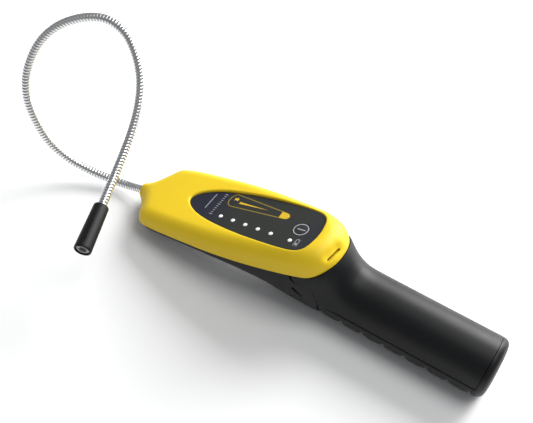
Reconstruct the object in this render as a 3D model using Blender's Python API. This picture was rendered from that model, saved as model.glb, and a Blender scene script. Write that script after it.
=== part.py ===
"""Portable gas detector with a flexible neck.

A yellow head cover and a black lower housing close round the electronics, a round handle behind
them takes two D cells, and a self-supporting neck of wound steel strip carries the gas sensor.

The row frame has its origin at the middle of the flat on which the handle rests, +X along the
handle towards its closed end, +Y to the left of a person who looks along +X, and +Z up.  The head
is tilted: its own frame (u along the head towards the handle, y across, n up from the label)
starts at the label's tip.  Lengths are in millimetres and are turned to metres in the meshes.
"""

import math

import bmesh
import bpy
from mathutils import Matrix, Vector

MM = 0.001
GAP = 0.3

# Handle and its two D cells.
HANDLE_RADIUS = 21.0
HANDLE_AXIS_Z = 21.0
RIB_CREST_RADIUS = 21.6
RIB_NOTCH_RADIUS = 19.9
RIB_PITCH = 15.6
RIB_COUNT = 8
CELL_RADIUS = 16.8
CELL_LENGTH = 61.0
CELL_BORE_RADIUS = 17.3
BORE_START_X = -70.2
BORE_END_X = 56.4
DOOR_START_X = -55.6
DOOR_DOME_X = 63.9
SHELL_END_X_TOP = 57.8
SHELL_END_X_SIDE = 56.8
BELLY_NOTCH_Z = 37.0
BULKHEAD_THICKNESS = 3.2
SPRING_SEAT_RADIUS = 10.0
SPRING_SEAT_X = 61.2

# Head: place of its frame and the heights of its layers.
HEAD_TILT = math.radians(17.3)
LABEL_TIP = Vector((-172.5, 0.0, 30.0))
WALL = 2.2
HULL_INSET = 1.2
SKIN_UNDERSIDE = -3.0
LABEL_THICKNESS = 0.5
RECESS_FLOOR = -0.8
BOARD_TOP = -9.5
BOARD_THICKNESS = 1.6
KEY_CENTRE = (91.1, 0.0)
KEY_RADIUS = 5.7
KEY_TRAVEL = 0.4
LED_RADIUS = 1.5
LED_FIRST = (31.7, -8.3)
LED_PITCH = 10.53
LED_DRIFT = -0.56
LED_STEPS = (0, 1, 2, 3, 4, 5.46)
BOARD_SCREWS = ((14.0, 6.0), (52.0, 13.0), (97.0, 13.0), (97.0, -13.0))
FRONT_SCREW = (-20.0, 18.0)
REAR_SCREW = (77.0, 16.8)
HANDLE_SCREW = (-64.0, 19.4)
SOUNDER_CENTRE = (105.5, 0.0)

# Neck and sensor.
NECK_RADIUS = 3.1
NECK_SEGMENTS = 7
NECK_HEIGHT = -6.0
NOSE_END = -45.3
BUSH_RADIUS = 3.6
BUSH_FLANGE = 4.6
SLEEVE_LENGTH = 36.0
SENSOR_RADIUS = 4.5

# Head cover by stations: u, half width, top, parting depth, edge radius.
COVER = (
    (-44.6, 6.0, -1.6, 8.2, 4.0), (-43.8, 7.4, -0.8, 8.2, 5.0), (-42.2, 8.7, -0.4, 8.2, 6.0),
    (-40.0, 11.0, 0.0, 8.2, 7.0), (-37.0, 14.6, 0.2, 8.2, 8.0), (-34.0, 20.4, 0.5, 8.2, 8.5),
    (-31.0, 25.2, 0.8, 8.3, 9.0), (-27.0, 28.6, 1.0, 8.4, 9.0), (-20.0, 29.9, 1.3, 8.5, 9.5),
    (-8.0, 31.1, 1.5, 8.8, 10.0), (10.0, 32.0, 1.5, 9.7, 10.5), (30.0, 32.3, 1.5, 11.3, 11.0),
    (50.0, 31.4, 1.5, 13.2, 11.0), (70.0, 29.5, 1.5, 15.0, 11.0), (80.0, 28.3, 1.5, 15.6, 11.0),
    (90.0, 27.1, 1.5, 16.0, 11.0), (102.0, 24.9, 1.4, 16.1, 11.0), (107.0, 23.4, 0.9, 15.8, 10.5),
    (111.0, 21.2, -0.1, 15.2, 9.5), (114.0, 18.7, -1.5, 14.6, 8.5), (116.5, 15.6, -3.6, 14.0, 7.5),
    (118.5, 11.7, -6.6, 13.6, 6.0), (119.8, 7.8, -9.2, 13.3, 3.5), (120.6, 4.5, -11.2, 13.2, 1.8),
)

# Bottom of the lower housing under the head by stations: u, depth, roundness of the section.
HULL = (
    (-44.6, 12.6, 2.3), (-43.8, 14.6, 2.3), (-42.2, 16.4, 2.4), (-40.0, 18.4, 2.5),
    (-37.0, 19.7, 2.6), (-34.0, 20.7, 2.6), (-31.0, 21.1, 2.6), (-27.0, 21.3, 2.6),
    (-20.0, 21.5, 2.5), (-8.0, 21.8, 2.4), (10.0, 23.8, 2.3), (30.0, 28.8, 2.2),
    (50.0, 36.6, 2.1), (70.0, 47.6, 2.1), (80.0, 54.6, 2.2), (90.0, 59.1, 2.4),
    (102.0, 62.9, 2.6), (109.0, 65.1, 2.6),
)

# Saddle and upper half of the handle by stations: x, half width, top, roundness.
SADDLE = (
    (-75.6, 26.4, 58.0, 3.0), (-70.0, 26.5, 58.0, 3.0), (-66.0, 26.6, 58.5, 3.0),
    (-63.0, 26.2, 58.5, 3.0), (-60.0, 25.5, 57.5, 2.9), (-57.0, 23.9, 56.5, 2.9),
    (-54.5, 22.9, 55.2, 2.6), (-52.0, 22.2, 53.4, 2.4), (-48.5, 21.6, 50.4, 2.15),
    (-44.0, 21.2, 46.8, 2.0), (-39.0, 21.0, 44.0, 1.95), (-33.0, 21.0, 42.5, 1.98),
    (-26.0, 21.0, 42.0, 2.0), (20.0, 21.0, 42.0, 2.0), (62.0, 21.0, 42.0, 2.0),
)

# Label outline, one side: u, half width.
LABEL = (
    (0.6, 0.0), (1.3, 2.2), (3.2, 4.9), (6.6, 7.8), (12.0, 10.8), (20.0, 13.7), (30.0, 16.0),
    (45.0, 18.2), (62.0, 19.5), (80.0, 19.7), (92.0, 19.0), (98.0, 17.8), (101.0, 15.6),
    (102.9, 12.0), (104.3, 6.0),
)
LABEL_REAR_U = 104.8

# Centre line of the neck, chosen by eye, from the nose to the sensor.
NECK_ROUTE = (
    (-214.1, 0.0, 10.8), (-227.0, -0.3, 7.0), (-242.0, -2.7, 6.6), (-259.7, -7.3, 10.2),
    (-274.9, -12.4, 18.5), (-287.6, -16.3, 32.4), (-297.2, -16.9, 50.6), (-303.6, -14.2, 67.3),
    (-305.6, -7.5, 84.5), (-302.0, 3.0, 102.0), (-293.0, 13.5, 114.5), (-279.0, 23.5, 122.2),
    (-263.5, 30.2, 124.3), (-248.0, 30.4, 120.0), (-235.1, 24.6, 111.6), (-225.3, 16.0, 101.0),
    (-219.0, 4.8, 89.8), (-215.4, -7.0, 79.6), (-212.4, -20.5, 71.0), (-208.4, -38.0, 63.0),
    (-203.0, -57.7, 57.2),
)
SENSOR_TIP = (-191.9, -91.7, 53.7)

COLOURS = {
    "yellow_abs": ((0.83, 0.63, 0.03), 0.38, 0.0),
    "black_abs": ((0.014, 0.014, 0.015), 0.42, 0.0),
    "membrane_film": ((0.035, 0.040, 0.052), 0.45, 0.0),
    "clear_lens": ((0.75, 0.77, 0.80), 0.12, 0.0),
    "board_laminate": ((0.02, 0.14, 0.06), 0.5, 0.0),
    "dark_plastic": ((0.02, 0.02, 0.02), 0.6, 0.0),
    "spring_steel": ((0.65, 0.65, 0.66), 0.25, 1.0),
    "neck_chrome": ((0.72, 0.72, 0.73), 0.18, 1.0),
    "cell_jacket": ((0.08, 0.09, 0.11), 0.35, 0.3),
    "screw_steel": ((0.45, 0.45, 0.46), 0.35, 1.0),
    "wire_insulation": ((0.45, 0.03, 0.03), 0.5, 0.0),
    "sensor_steel": ((0.55, 0.55, 0.54), 0.3, 1.0),
}


def clear_scene():
    """Remove every object of the file that the script runs in."""
    for item in list(bpy.data.objects):
        bpy.data.objects.remove(item, do_unlink=True)


def make_materials():
    """Return one Principled material for each finish."""
    made = {}
    for name, (colour, roughness, metallic) in COLOURS.items():
        material = bpy.data.materials.new(name)
        material.use_nodes = True
        shader = material.node_tree.nodes["Principled BSDF"]
        shader.inputs["Base Color"].default_value = (*colour, 1.0)
        shader.inputs["Roughness"].default_value = roughness
        shader.inputs["Metallic"].default_value = metallic
        material.diffuse_color = (*colour, 1.0)
        made[name] = material
    return made


def place(item, parent=None, matrix=None):
    """Link an object to the scene, under a parent and with a matrix if they are given."""
    bpy.context.scene.collection.objects.link(item)
    if parent is not None:
        item.parent = parent
    if matrix is not None:
        item.matrix_local = matrix
    return item


def piece(name, bm, material, parent=None, matrix=None):
    """Turn a bmesh in millimetres into a named object with its material."""
    bmesh.ops.recalc_face_normals(bm, faces=bm.faces)
    bm.transform(Matrix.Scale(MM, 4))
    mesh = bpy.data.meshes.new(name)
    bm.to_mesh(mesh)
    bm.free()
    mesh.shade_smooth()
    mesh.set_sharp_from_angle(angle=math.radians(35))
    if material is not None:
        mesh.materials.append(material)
    return place(bpy.data.objects.new(name, mesh), parent, matrix)


def cutter(name, bm, parent=None, matrix=None):
    """Turn a bmesh into a hidden guide for Boolean modifiers."""
    item = piece(name, bm, None, parent, matrix)
    item.hide_render = True
    item.display_type = "WIRE"
    return item


def combine(item, other, operation="DIFFERENCE"):
    """Add an exact Boolean modifier to an object."""
    modifier = item.modifiers.new(other.name, "BOOLEAN")
    modifier.object = other
    modifier.operation = operation
    modifier.solver = "EXACT"


def loft(rings):
    """Return a closed bmesh through rings of equal length."""
    bm = bmesh.new()
    rows = [[bm.verts.new(point) for point in ring] for ring in rings]
    count = len(rows[0])
    for row, following in zip(rows, rows[1:]):
        for i in range(count):
            j = (i + 1) % count
            bm.faces.new((row[i], row[j], following[j], following[i]))
    bm.faces.new(rows[0])
    bm.faces.new(rows[-1])
    bmesh.ops.triangulate(bm, faces=[face for face in bm.faces if len(face.verts) == 4])
    return bm


def turned(profile, sides=24):
    """Return a bmesh turned about Z from (radius, height) points that start and end on the axis."""
    bm = bmesh.new()
    verts = [bm.verts.new((radius, 0.0, height)) for radius, height in profile]
    edges = [bm.edges.new(pair) for pair in zip(verts, verts[1:])]
    bmesh.ops.spin(bm, geom=verts + edges, axis=(0, 0, 1), cent=(0, 0, 0),
                   steps=sides, angle=math.tau, use_merge=True)
    bmesh.ops.remove_doubles(bm, verts=bm.verts, dist=1e-4)
    return bm


def rod(radius, low, high, sides=24):
    """Return a cylinder along Z."""
    return turned(((0, low), (radius, low), (radius, high), (0, high)), sides)


def block(low, high):
    """Return a box between two corners."""
    bm = bmesh.new()
    bmesh.ops.create_cube(bm, size=1.0)
    low, high = Vector(low), Vector(high)
    bmesh.ops.scale(bm, vec=high - low, verts=bm.verts)
    bmesh.ops.translate(bm, vec=(high + low) / 2, verts=bm.verts)
    return bm


def plate(outline, low, high):
    """Return a flat plate of a closed outline between two heights."""
    bm = bmesh.new()
    face = bm.faces.new([bm.verts.new((x, y, low)) for x, y in outline])
    solid = bmesh.ops.extrude_face_region(bm, geom=[face])
    raised = [item for item in solid["geom"] if isinstance(item, bmesh.types.BMVert)]
    bmesh.ops.translate(bm, vec=(0, 0, high - low), verts=raised)
    return bm


def at(x, y, z):
    """Return a translation given in millimetres."""
    return Matrix.Translation(Vector((x, y, z)) * MM)


def along(start, direction):
    """Return the placement that puts local Z along a direction, from a start in millimetres."""
    turn = Vector((0, 0, 1)).rotation_difference(Vector(direction)).to_matrix().to_4x4()
    return Matrix.Translation(Vector(start) * MM) @ turn


def between(table, u, column):
    """Read a column of a station table, straight between stations."""
    if u <= table[0][0]:
        return table[0][column]
    for low, high in zip(table, table[1:]):
        if u <= high[0]:
            part = (u - low[0]) / (high[0] - low[0])
            return low[column] + part * (high[column] - low[column])
    return table[-1][column]


def cover_ring(u, half, top, depth, edge):
    """Return one section of the head cover: straight sides and rounded upper edges."""
    edge_y = min(edge, 0.85 * half)
    edge_n = min(edge, 0.9 * (top + depth))
    ring = [(u, half, -depth)]
    for step in range(7):
        angle = math.pi / 2 * step / 6
        ring.append((u, half - edge_y * (1 - math.cos(angle)), top - edge_n * (1 - math.sin(angle))))
    mirrored = [(point[0], -point[1], point[2]) for point in reversed(ring)]
    return ring + mirrored


def bowl_ring(u, half, rim, depth, roundness):
    """Return one section of a bowl: a flat rim and a superellipse below it."""
    ring = []
    steps = 16
    for step in range(steps + 1):
        angle = math.pi * step / steps
        c, s = math.cos(angle), math.sin(angle)
        y = half * math.copysign(abs(c) ** (2 / roundness), c)
        ring.append((u, y, rim - (depth + rim) * abs(s) ** (2 / roundness)))
    return ring


def arch_ring(x, half, base, top, roundness):
    """Return one section of an arch: a flat base and a superellipse above it."""
    ring = []
    steps = 16
    for step in range(steps + 1):
        angle = math.pi * step / steps
        c, s = math.cos(angle), math.sin(angle)
        y = half * math.copysign(abs(c) ** (2 / roundness), c)
        ring.append((x, y, base + (top - base) * abs(s) ** (2 / roundness)))
    return ring


def label_outline(grow=0.0):
    """Return the label's closed outline, grown by a margin."""
    side = [(u, half + grow) for u, half in LABEL[1:]]
    front = [(LABEL[0][0] - grow, 0.0)]
    rear = [(LABEL_REAR_U + grow, 0.0)]
    return front + side + rear + [(u, -half) for u, half in reversed(side)]


def smooth_route(points, spacing):
    """Return evenly spaced points of a Catmull-Rom curve through the given points."""
    points = [Vector(point) for point in points]
    ends = [2 * points[0] - points[1]] + points + [2 * points[-1] - points[-2]]
    fine = []
    for a, b, c, d in zip(ends, ends[1:], ends[2:], ends[3:]):
        for step in range(20):
            t = step / 20
            fine.append(0.5 * (2 * b + (c - a) * t + (2 * a - 5 * b + 4 * c - d) * t * t
                               + (3 * b - 3 * c + d - a) * t ** 3))
    fine.append(points[-1])
    total = sum((b - a).length for a, b in zip(fine, fine[1:]))
    count = round(total / spacing)
    even, walked, target = [fine[0]], 0.0, total / count
    for a, b in zip(fine, fine[1:]):
        step = (b - a).length
        while walked + step >= target - 1e-9 and len(even) < count:
            even.append(a.lerp(b, (target - walked) / step))
            target += total / count
        walked += step
    return even + [fine[-1]]


def tube(name, points, radius, material, sides=8, parent=None):
    """Return a closed tube along points, as a poly curve with a round bevel."""
    curve = bpy.data.curves.new(name, "CURVE")
    curve.dimensions = "3D"
    curve.bevel_depth = radius * MM
    curve.bevel_resolution = sides // 2 - 2
    curve.use_fill_caps = True
    spline = curve.splines.new("POLY")
    spline.points.add(len(points) - 1)
    for control, point in zip(spline.points, points):
        control.co = (*(Vector(point) * MM), 1.0)
    curve.materials.append(material)
    return place(bpy.data.objects.new(name, curve), parent)


def make_head_frame():
    """Return the empty that carries the tilted head frame."""
    frame = bpy.data.objects.new("head_frame", None)
    turn = Matrix.Rotation(-HEAD_TILT, 4, "Y")
    return place(frame, matrix=Matrix.Translation(LABEL_TIP * MM) @ turn)


def led_places():
    """Return the centre of each indicator on the label."""
    return [(LED_FIRST[0] + LED_PITCH * step, LED_FIRST[1] + LED_DRIFT * step) for step in LED_STEPS]


def make_head_cover(materials, head):
    """Yellow cover: a thin shell with the label recess, key hole, lamp holes and screw bosses."""
    cover = piece("head_cover", loft([cover_ring(*row) for row in COVER]),
                  materials["yellow_abs"], head)
    inside = []
    for u, half, top, depth, edge in COVER:
        if -35.0 < u < 118.0:
            roof = min(SKIN_UNDERSIDE, top - WALL - 0.6)
            inside.append(cover_ring(u, half - WALL, roof, depth + 6.0, edge - WALL))
    combine(cover, cutter("cover_hollow", loft(inside), head))

    bosses = [(place_, 3.0, BOARD_TOP + GAP) for place_ in BOARD_SCREWS]
    for u, y in (FRONT_SCREW, REAR_SCREW):
        low = -between(COVER, u, 3) + 0.5
        bosses += [((u, side * y), 3.6, low) for side in (1, -1)]
    for number, ((u, y), radius, low) in enumerate(bosses):
        boss = cutter(f"cover_boss_{number}", rod(radius, low, SKIN_UNDERSIDE + 0.5, 16), head, at(u, y, 0))
        combine(cover, boss, "UNION")
        bore_radius = 1.3 if radius == 3.0 else 1.7
        bore = cutter(f"cover_boss_bore_{number}", rod(bore_radius, low - 1, SKIN_UNDERSIDE - 0.6, 12),
                      head, at(u, y, 0))
        combine(cover, bore)

    recess = cutter("label_recess", plate(label_outline(0.3), RECESS_FLOOR, 6.0), head)
    combine(cover, recess)
    key_hole = cutter("key_hole", rod(KEY_RADIUS + 0.4, -8, 2), head, at(*KEY_CENTRE, 0))
    combine(cover, key_hole)
    for number, (u, y) in enumerate(led_places(), 1):
        hole = cutter(f"lamp_hole_{number}", rod(LED_RADIUS + 0.3, -8, 2, 12), head, at(u, y, 0))
        combine(cover, hole)
    port = cutter("sound_port", block((-6, -5.8, -0.8), (6, 5.8, 0.8)), head, at(117.5, -5.0, -7.6))
    combine(cover, port)
    combine(cover, neck_bore(head))
    return cover


def neck_bore(head):
    """Return the cutter of the hole in the nose that holds the neck's bush."""
    name = "nose_bore"
    if name in bpy.data.objects:
        return bpy.data.objects[name]
    profile = ((0, NOSE_END - 6), (BUSH_RADIUS + GAP, NOSE_END - 6), (BUSH_RADIUS + GAP, -34.7),
               (BUSH_FLANGE + GAP, -34.7), (BUSH_FLANGE + GAP, -24.0), (0, -24.0))
    return cutter(name, turned(profile, 24), head, along((0, 0, NECK_HEIGHT), (1, 0, 0)))


def make_lower_housing(materials, head):
    """Black tub under the head, with the belly that carries the front of the battery bore."""
    rings, hollow, core = [], [], []
    for u, depth, roundness in HULL:
        half = between(COVER, u, 1) - HULL_INSET
        rim = -between(COVER, u, 3) - GAP
        if u > 100.0:
            half += HULL_INSET + 1.0
        rings.append(bowl_ring(u, half, rim, depth, roundness))
        core.append(bowl_ring(u, half - WALL / 3, rim, depth - WALL / 3, roundness))
        if u > -35.0:
            hollow.append(bowl_ring(u, half - WALL, rim + 5.0, depth - WALL, roundness))
    last_u, last_depth, last_roundness = HULL[-1]
    rings.append(bowl_ring(last_u + 12, 21.6, -14.0, last_depth + 3.6, last_roundness))
    housing = piece("lower_housing", loft(rings), materials["black_abs"], head)
    hollow_cut = cutter("housing_hollow", loft(hollow), head)
    wall_x = BORE_START_X - BULKHEAD_THICKNESS
    combine(hollow_cut, cutter("bulkhead_guide", block((wall_x, -40, -10), (10, 40, 90))))
    combine(housing, hollow_cut)
    combine(housing, cutter("handle_end_cut", block((DOOR_START_X - GAP, -40, -10), (40, 40, 90))))
    combine(housing, cutter("saddle_cut", block((SADDLE[0][0] - GAP, -40, BELLY_NOTCH_Z), (0, 40, 90))))
    combine(housing, cell_bore())
    trim = cutter("post_trim", loft(core), head)
    for u, y in (FRONT_SCREW, REAR_SCREW):
        top = -between(COVER, u, 3) + 0.2
        for side in (1, -1):
            name = f"{'front' if u < 0 else 'rear'}_{'left' if side > 0 else 'right'}"
            post = cutter(f"post_{name}", rod(4.6, -80, top, 16), head, at(u, side * y, 0))
            combine(post, trim, "INTERSECT")
            combine(housing, post, "UNION")
            channel = ((0, -70), (3.1, -70), (3.1, top - 6.4), (1.7, top - 6.4), (1.7, top + 1), (0, top + 1))
            combine(housing, cutter(f"channel_{name}", turned(channel, 16), head, at(u, side * y, 0)))
    for side in (1, -1):
        x, y = HANDLE_SCREW
        hole = cutter(f"handle_screw_hole_{side}", rod(1.6, 25.5, 60, 12), matrix=at(x, side * y, 0))
        combine(housing, hole)
        slot = cutter(f"side_slot_{side}", block((-6, -4, -1.0), (6, 4, 1.0)),
                      matrix=at(-67.5, side * 25.5, 19.0) @ Matrix.Rotation(math.radians(-14), 4, "Y"))
        combine(housing, slot)
    combine(housing, neck_bore(head))
    return housing


def cell_bore():
    """Return the cutter of the bore that holds the two cells."""
    name = "cell_bore"
    if name in bpy.data.objects:
        return bpy.data.objects[name]
    return cutter(name, rod(CELL_BORE_RADIUS, BORE_START_X, BORE_END_X, 40),
                  matrix=along((0, 0, HANDLE_AXIS_Z), (1, 0, 0)))


def make_handle_shell(materials, head):
    """Black upper half of the handle, with the saddle that takes the rear end of the cover."""
    base = HANDLE_AXIS_Z + GAP / 2
    shell = piece("handle_shell", loft([arch_ring(x, half, base, top, roundness)
                                        for x, half, top, roundness in SADDLE]),
                  materials["black_abs"])
    seat = []
    for u, half, top, depth, edge in COVER:
        if u > 60:
            seat.append(cover_ring(u, half + GAP, 14.0, depth + GAP, 0.6))
    seat.append([(point[0] + 0.6, point[1] * 0.8, point[2]) for point in seat[-1]])
    combine(shell, cutter("cover_seat", loft(seat), head))
    pocket = []
    for u in (88.0, 96.0, 104.0, 110.0, 114.0):
        floor = 36.1 + 0.3115 * (u - 150.0) - 1.2
        pocket.append(cover_ring(u, min(12.0, between(COVER, u, 1) - 4.5), 14.0, floor, 0.6))
    combine(shell, cutter("saddle_pocket", loft(pocket), head))
    combine(shell, cutter("belly_clearance", block((-90, -40, 0), (DOOR_START_X, 40, BELLY_NOTCH_Z + GAP))))
    combine(shell, cell_bore())
    mouth = rod(CELL_BORE_RADIUS, BORE_END_X - 4, SHELL_END_X_TOP + 2, 40)
    combine(shell, cutter("shell_mouth", mouth, matrix=along((0, 0, HANDLE_AXIS_Z), (1, 0, 0))))
    combine(shell, cutter("strip_groove", block((BORE_START_X, -3.8, 30), (54, 3.8, 39.4))))
    rake = math.atan2(SHELL_END_X_TOP - SHELL_END_X_SIDE, HANDLE_RADIUS)
    end = at(SHELL_END_X_SIDE, 0, HANDLE_AXIS_Z) @ Matrix.Rotation(rake, 4, "Y")
    combine(shell, cutter("shell_end_cut", block((0, -40, -30), (30, 40, 60)), matrix=end))
    x, y = HANDLE_SCREW
    for side in (1, -1):
        profile = ((0, 20), (1.6, 20), (1.6, 38.6), (3.0, 38.6), (3.0, 60), (0, 60))
        combine(shell, cutter(f"handle_screw_seat_{side}", turned(profile, 16), matrix=at(x, side * y, 0)))
    return shell


def make_battery_door(materials):
    """Black ribbed lower half of the handle, in one piece with the domed end."""
    top = HANDLE_AXIS_Z - GAP / 2
    first_notch = -RIB_PITCH * (RIB_COUNT - 1) / 2
    stations = [(DOOR_START_X, 21.0)]
    for rib in range(RIB_COUNT):
        notch = first_notch + rib * RIB_PITCH
        shape = ((0.0, RIB_NOTCH_RADIUS), (1.6, 21.1), (4.4, RIB_CREST_RADIUS),
                 (RIB_PITCH - 4.4, RIB_CREST_RADIUS), (RIB_PITCH - 1.6, 21.1))
        stations += [(notch + step, radius) for step, radius in shape]
    stations = [item for item in stations if item[0] < SHELL_END_X_TOP] + [(SHELL_END_X_TOP + 0.4, 21.2)]
    rings = []
    for x, radius in stations:
        ring = []
        for step in range(17):
            angle = math.pi * step / 16
            ring.append((x, radius * math.cos(angle), top - radius * math.sin(angle)))
        rings.append(ring)
    door = piece("battery_door", loft(rings), materials["black_abs"])
    dome = [(0, SHELL_END_X_SIDE - 4), (HANDLE_RADIUS, SHELL_END_X_SIDE - 4)]
    dome += [(HANDLE_RADIUS, SHELL_END_X_TOP)]
    rise = DOOR_DOME_X - SHELL_END_X_TOP
    for step in range(1, 7):
        angle = math.pi / 2 * step / 6
        dome.append((HANDLE_RADIUS * (1 - 0.30 * (1 - math.cos(angle))),
                     SHELL_END_X_TOP + rise * math.sin(angle) * 0.86))
    dome.append((0, DOOR_DOME_X))
    cap = cutter("door_cap", turned(dome, 40), matrix=along((0, 0, HANDLE_AXIS_Z), (1, 0, 0)))
    rake = math.atan2(SHELL_END_X_TOP - SHELL_END_X_SIDE, HANDLE_RADIUS)
    face = at(SHELL_END_X_SIDE + GAP, 0, HANDLE_AXIS_Z) @ Matrix.Rotation(rake, 4, "Y")
    combine(cap, cutter("cap_face_cut", block((-30, -40, -60), (0, 40, 60)), matrix=face))
    combine(door, cap, "UNION")
    combine(door, cell_bore())
    seat = rod(SPRING_SEAT_RADIUS, BORE_END_X - 4, SPRING_SEAT_X, 24)
    combine(door, cutter("spring_seat", seat, matrix=along((0, 0, HANDLE_AXIS_Z), (1, 0, 0))))
    combine(door, cutter("table_plane", block((-90, -40, -20), (90, 40, 0))))
    return door


def make_controls(materials, head):
    """Label, power key, six indicator lamps and the key's switch."""
    label = piece("membrane_label", plate(label_outline(), -LABEL_THICKNESS, 0.0),
                  materials["membrane_film"], head)
    opening = cutter("label_key_hole", rod(KEY_RADIUS + 0.3, -3, 3), head, at(*KEY_CENTRE, 0))
    combine(label, opening)
    for number, (u, y) in enumerate(led_places(), 1):
        hole = cutter(f"label_lamp_hole_{number}", rod(LED_RADIUS + 0.3, -3, 3, 12), head, at(u, y, 0))
        combine(label, hole)
        lens = ((0, BOARD_TOP + GAP), (1.9, BOARD_TOP + GAP), (1.9, -4.5), (LED_RADIUS, -4.5),
                (LED_RADIUS, -0.2), (1.1, 0.15), (0, 0.3))
        piece(f"led_{number}", turned(lens, 10), materials["clear_lens"], head, at(u, y, 0))
    key = ((0, -5.8), (2.0, -5.8), (2.0, -4.4), (7.0, -4.4), (7.0, -3.5), (KEY_RADIUS, -3.5),
           (KEY_RADIUS, -0.3), (KEY_RADIUS - 0.3, 0), (0, 0))
    piece("power_key", turned(key, 32), materials["membrane_film"], head, at(*KEY_CENTRE, 0))
    switch = piece("key_switch", block((-3, -3, BOARD_TOP + GAP), (3, 3, -7.4)), materials["dark_plastic"],
                   head, at(*KEY_CENTRE, 0))
    plunger = cutter("switch_plunger", rod(1.7, -8, -6.5, 12), head, at(*KEY_CENTRE, 0))
    combine(switch, plunger, "UNION")


def make_board(materials, head):
    """Circuit board with its connector, sounder and fixing screws."""
    side = [(9, 10), (42, 17), (68, 17), (71, 12.4), (83, 12.4), (86, 17), (98, 17), (112, 11)]
    outline = side + [(u, -y) for u, y in reversed(side)]
    board = piece("circuit_board", plate(outline, BOARD_TOP - BOARD_THICKNESS, BOARD_TOP),
                  materials["board_laminate"], head)
    bottom = BOARD_TOP - BOARD_THICKNESS
    for number, (u, y) in enumerate(BOARD_SCREWS, 1):
        combine(board, cutter(f"board_hole_{number}", rod(1.5, -14, -5, 12), head, at(u, y, 0)))
        make_screw(f"board_screw_{number}", 1.0, 2.2, bottom - GAP, -5.0, materials, head, at(u, y, 0))
    sounder = ((0, BOARD_TOP + GAP), (7, BOARD_TOP + GAP), (7, -4.8), (6.4, -4.4), (1.2, -4.4),
               (1.2, -5.4), (0, -5.4))
    piece("sounder", turned(sounder, 24), materials["dark_plastic"], head, at(*SOUNDER_CENTRE, 0))
    piece("sensor_connector", block((22, -7, bottom - 3.4), (29, 1, bottom - GAP)),
          materials["dark_plastic"], head)
    lead = smooth_route(((-32.4, 0, -6), (-22, -0.5, -8.4), (-9, -2.2, -12), (5, -3, -13), (21.6, -3, -13)), 3.0)
    tube("sensor_lead", lead, 1.1, materials["dark_plastic"], parent=head)


def make_screw(name, shaft, head_radius, seat, tip, materials, parent=None, matrix=None):
    """Pan-head screw whose shaft rises from the seat under its head to its tip."""
    drop = head_radius * 0.7
    profile = ((0, seat - drop), (head_radius * 0.7, seat - drop), (head_radius, seat - drop * 0.5),
               (head_radius, seat), (shaft, seat), (shaft, tip - shaft), (0, tip))
    return piece(name, turned(profile, 10), materials["screw_steel"], parent, matrix)


def make_case_screws(materials, head):
    """Four screws that hold the lower housing to the cover and two that hold the handle shell."""
    number = 0
    for u, y in (FRONT_SCREW, REAR_SCREW):
        seat = -between(COVER, u, 3) + 0.2 - 6.4 - GAP
        for side in (1, -1):
            number += 1
            tip = min(SKIN_UNDERSIDE - 1.8, seat + 13.0)
            make_screw(f"cover_screw_{number}", 1.4, 2.8, seat, tip, materials, head, at(u, side * y, 0))
    x, y = HANDLE_SCREW
    for number, side in enumerate((1, -1), 1):
        flip = Matrix.Translation(Vector((x, side * y, 0)) * MM) @ Matrix.Rotation(math.pi, 4, "X")
        make_screw(f"handle_screw_{number}", 1.3, 2.7, -38.6 - GAP, -27.0, materials, None, flip)


def make_cells(materials):
    """Two D cells in the bore, with the contacts and leads that join them to the board."""
    start = BORE_START_X + 1.0
    for name, x in (("battery_front", start), ("battery_rear", start + CELL_LENGTH + GAP)):
        profile = ((0, 0), (4.7, 0), (4.7, 1.5), (CELL_RADIUS - 1.5, 1.5), (CELL_RADIUS, 2.5),
                   (CELL_RADIUS, CELL_LENGTH - 1), (CELL_RADIUS - 1, CELL_LENGTH), (0, CELL_LENGTH))
        piece(name, turned(profile, 32), materials["cell_jacket"], None,
              along((x, 0, HANDLE_AXIS_Z), (1, 0, 0)))
    piece("front_contact", rod(7.0, BORE_START_X + GAP, BORE_START_X + 0.7, 20), materials["spring_steel"],
          None, along((0, 0, HANDLE_AXIS_Z), (1, 0, 0)))
    piece("return_strip", block((BORE_START_X + 1, -3.4, 38.5), (53.5, 3.4, 39.1)), materials["spring_steel"])
    low = start + 2 * CELL_LENGTH + 2 * GAP + 0.7
    high = SPRING_SEAT_X - GAP - 0.7
    turns, per_turn = 3.0, 12
    coil = []
    for step in range(int(turns * per_turn) + 1):
        part = step / (turns * per_turn)
        angle = math.tau * turns * part
        radius = 5.0 + 3.4 * part
        coil.append((low + (high - low) * part, radius * math.cos(angle), HANDLE_AXIS_Z + radius * math.sin(angle)))
    tube("contact_spring", coil, 0.55, materials["spring_steel"])
    wall = BORE_START_X - BULKHEAD_THICKNESS - 0.4
    for name, side in (("supply_lead", 1), ("return_lead", -1)):
        y = 5.0 * side
        route = smooth_route(((wall, y, 24), (wall - 4, y, 26), (wall - 8, y, 32), (-89.0, y, 40.0)), 2.5)
        tube(name, route, 0.8, materials["wire_insulation"])


def make_neck(materials, head):
    """Bush in the nose and the neck's segments, round-ended so that each can bend on the last."""
    bush = ((0, NOSE_END), (BUSH_RADIUS, NOSE_END), (BUSH_RADIUS, -34.4), (BUSH_FLANGE, -34.4),
            (BUSH_FLANGE, -33.0), (0, -33.0))
    piece("neck_bush", turned(bush, 24), materials["sensor_steel"], head, along((0, 0, NECK_HEIGHT), (1, 0, 0)))
    route = smooth_route(NECK_ROUTE, 1.0)
    per_segment = (len(route) - 1) / NECK_SEGMENTS
    for number in range(NECK_SEGMENTS):
        first, last = round(number * per_segment), round((number + 1) * per_segment)
        piece(f"neck_segment_{number + 1}", neck_segment(route[first:last + 1]), materials["neck_chrome"])
    return route


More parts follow.
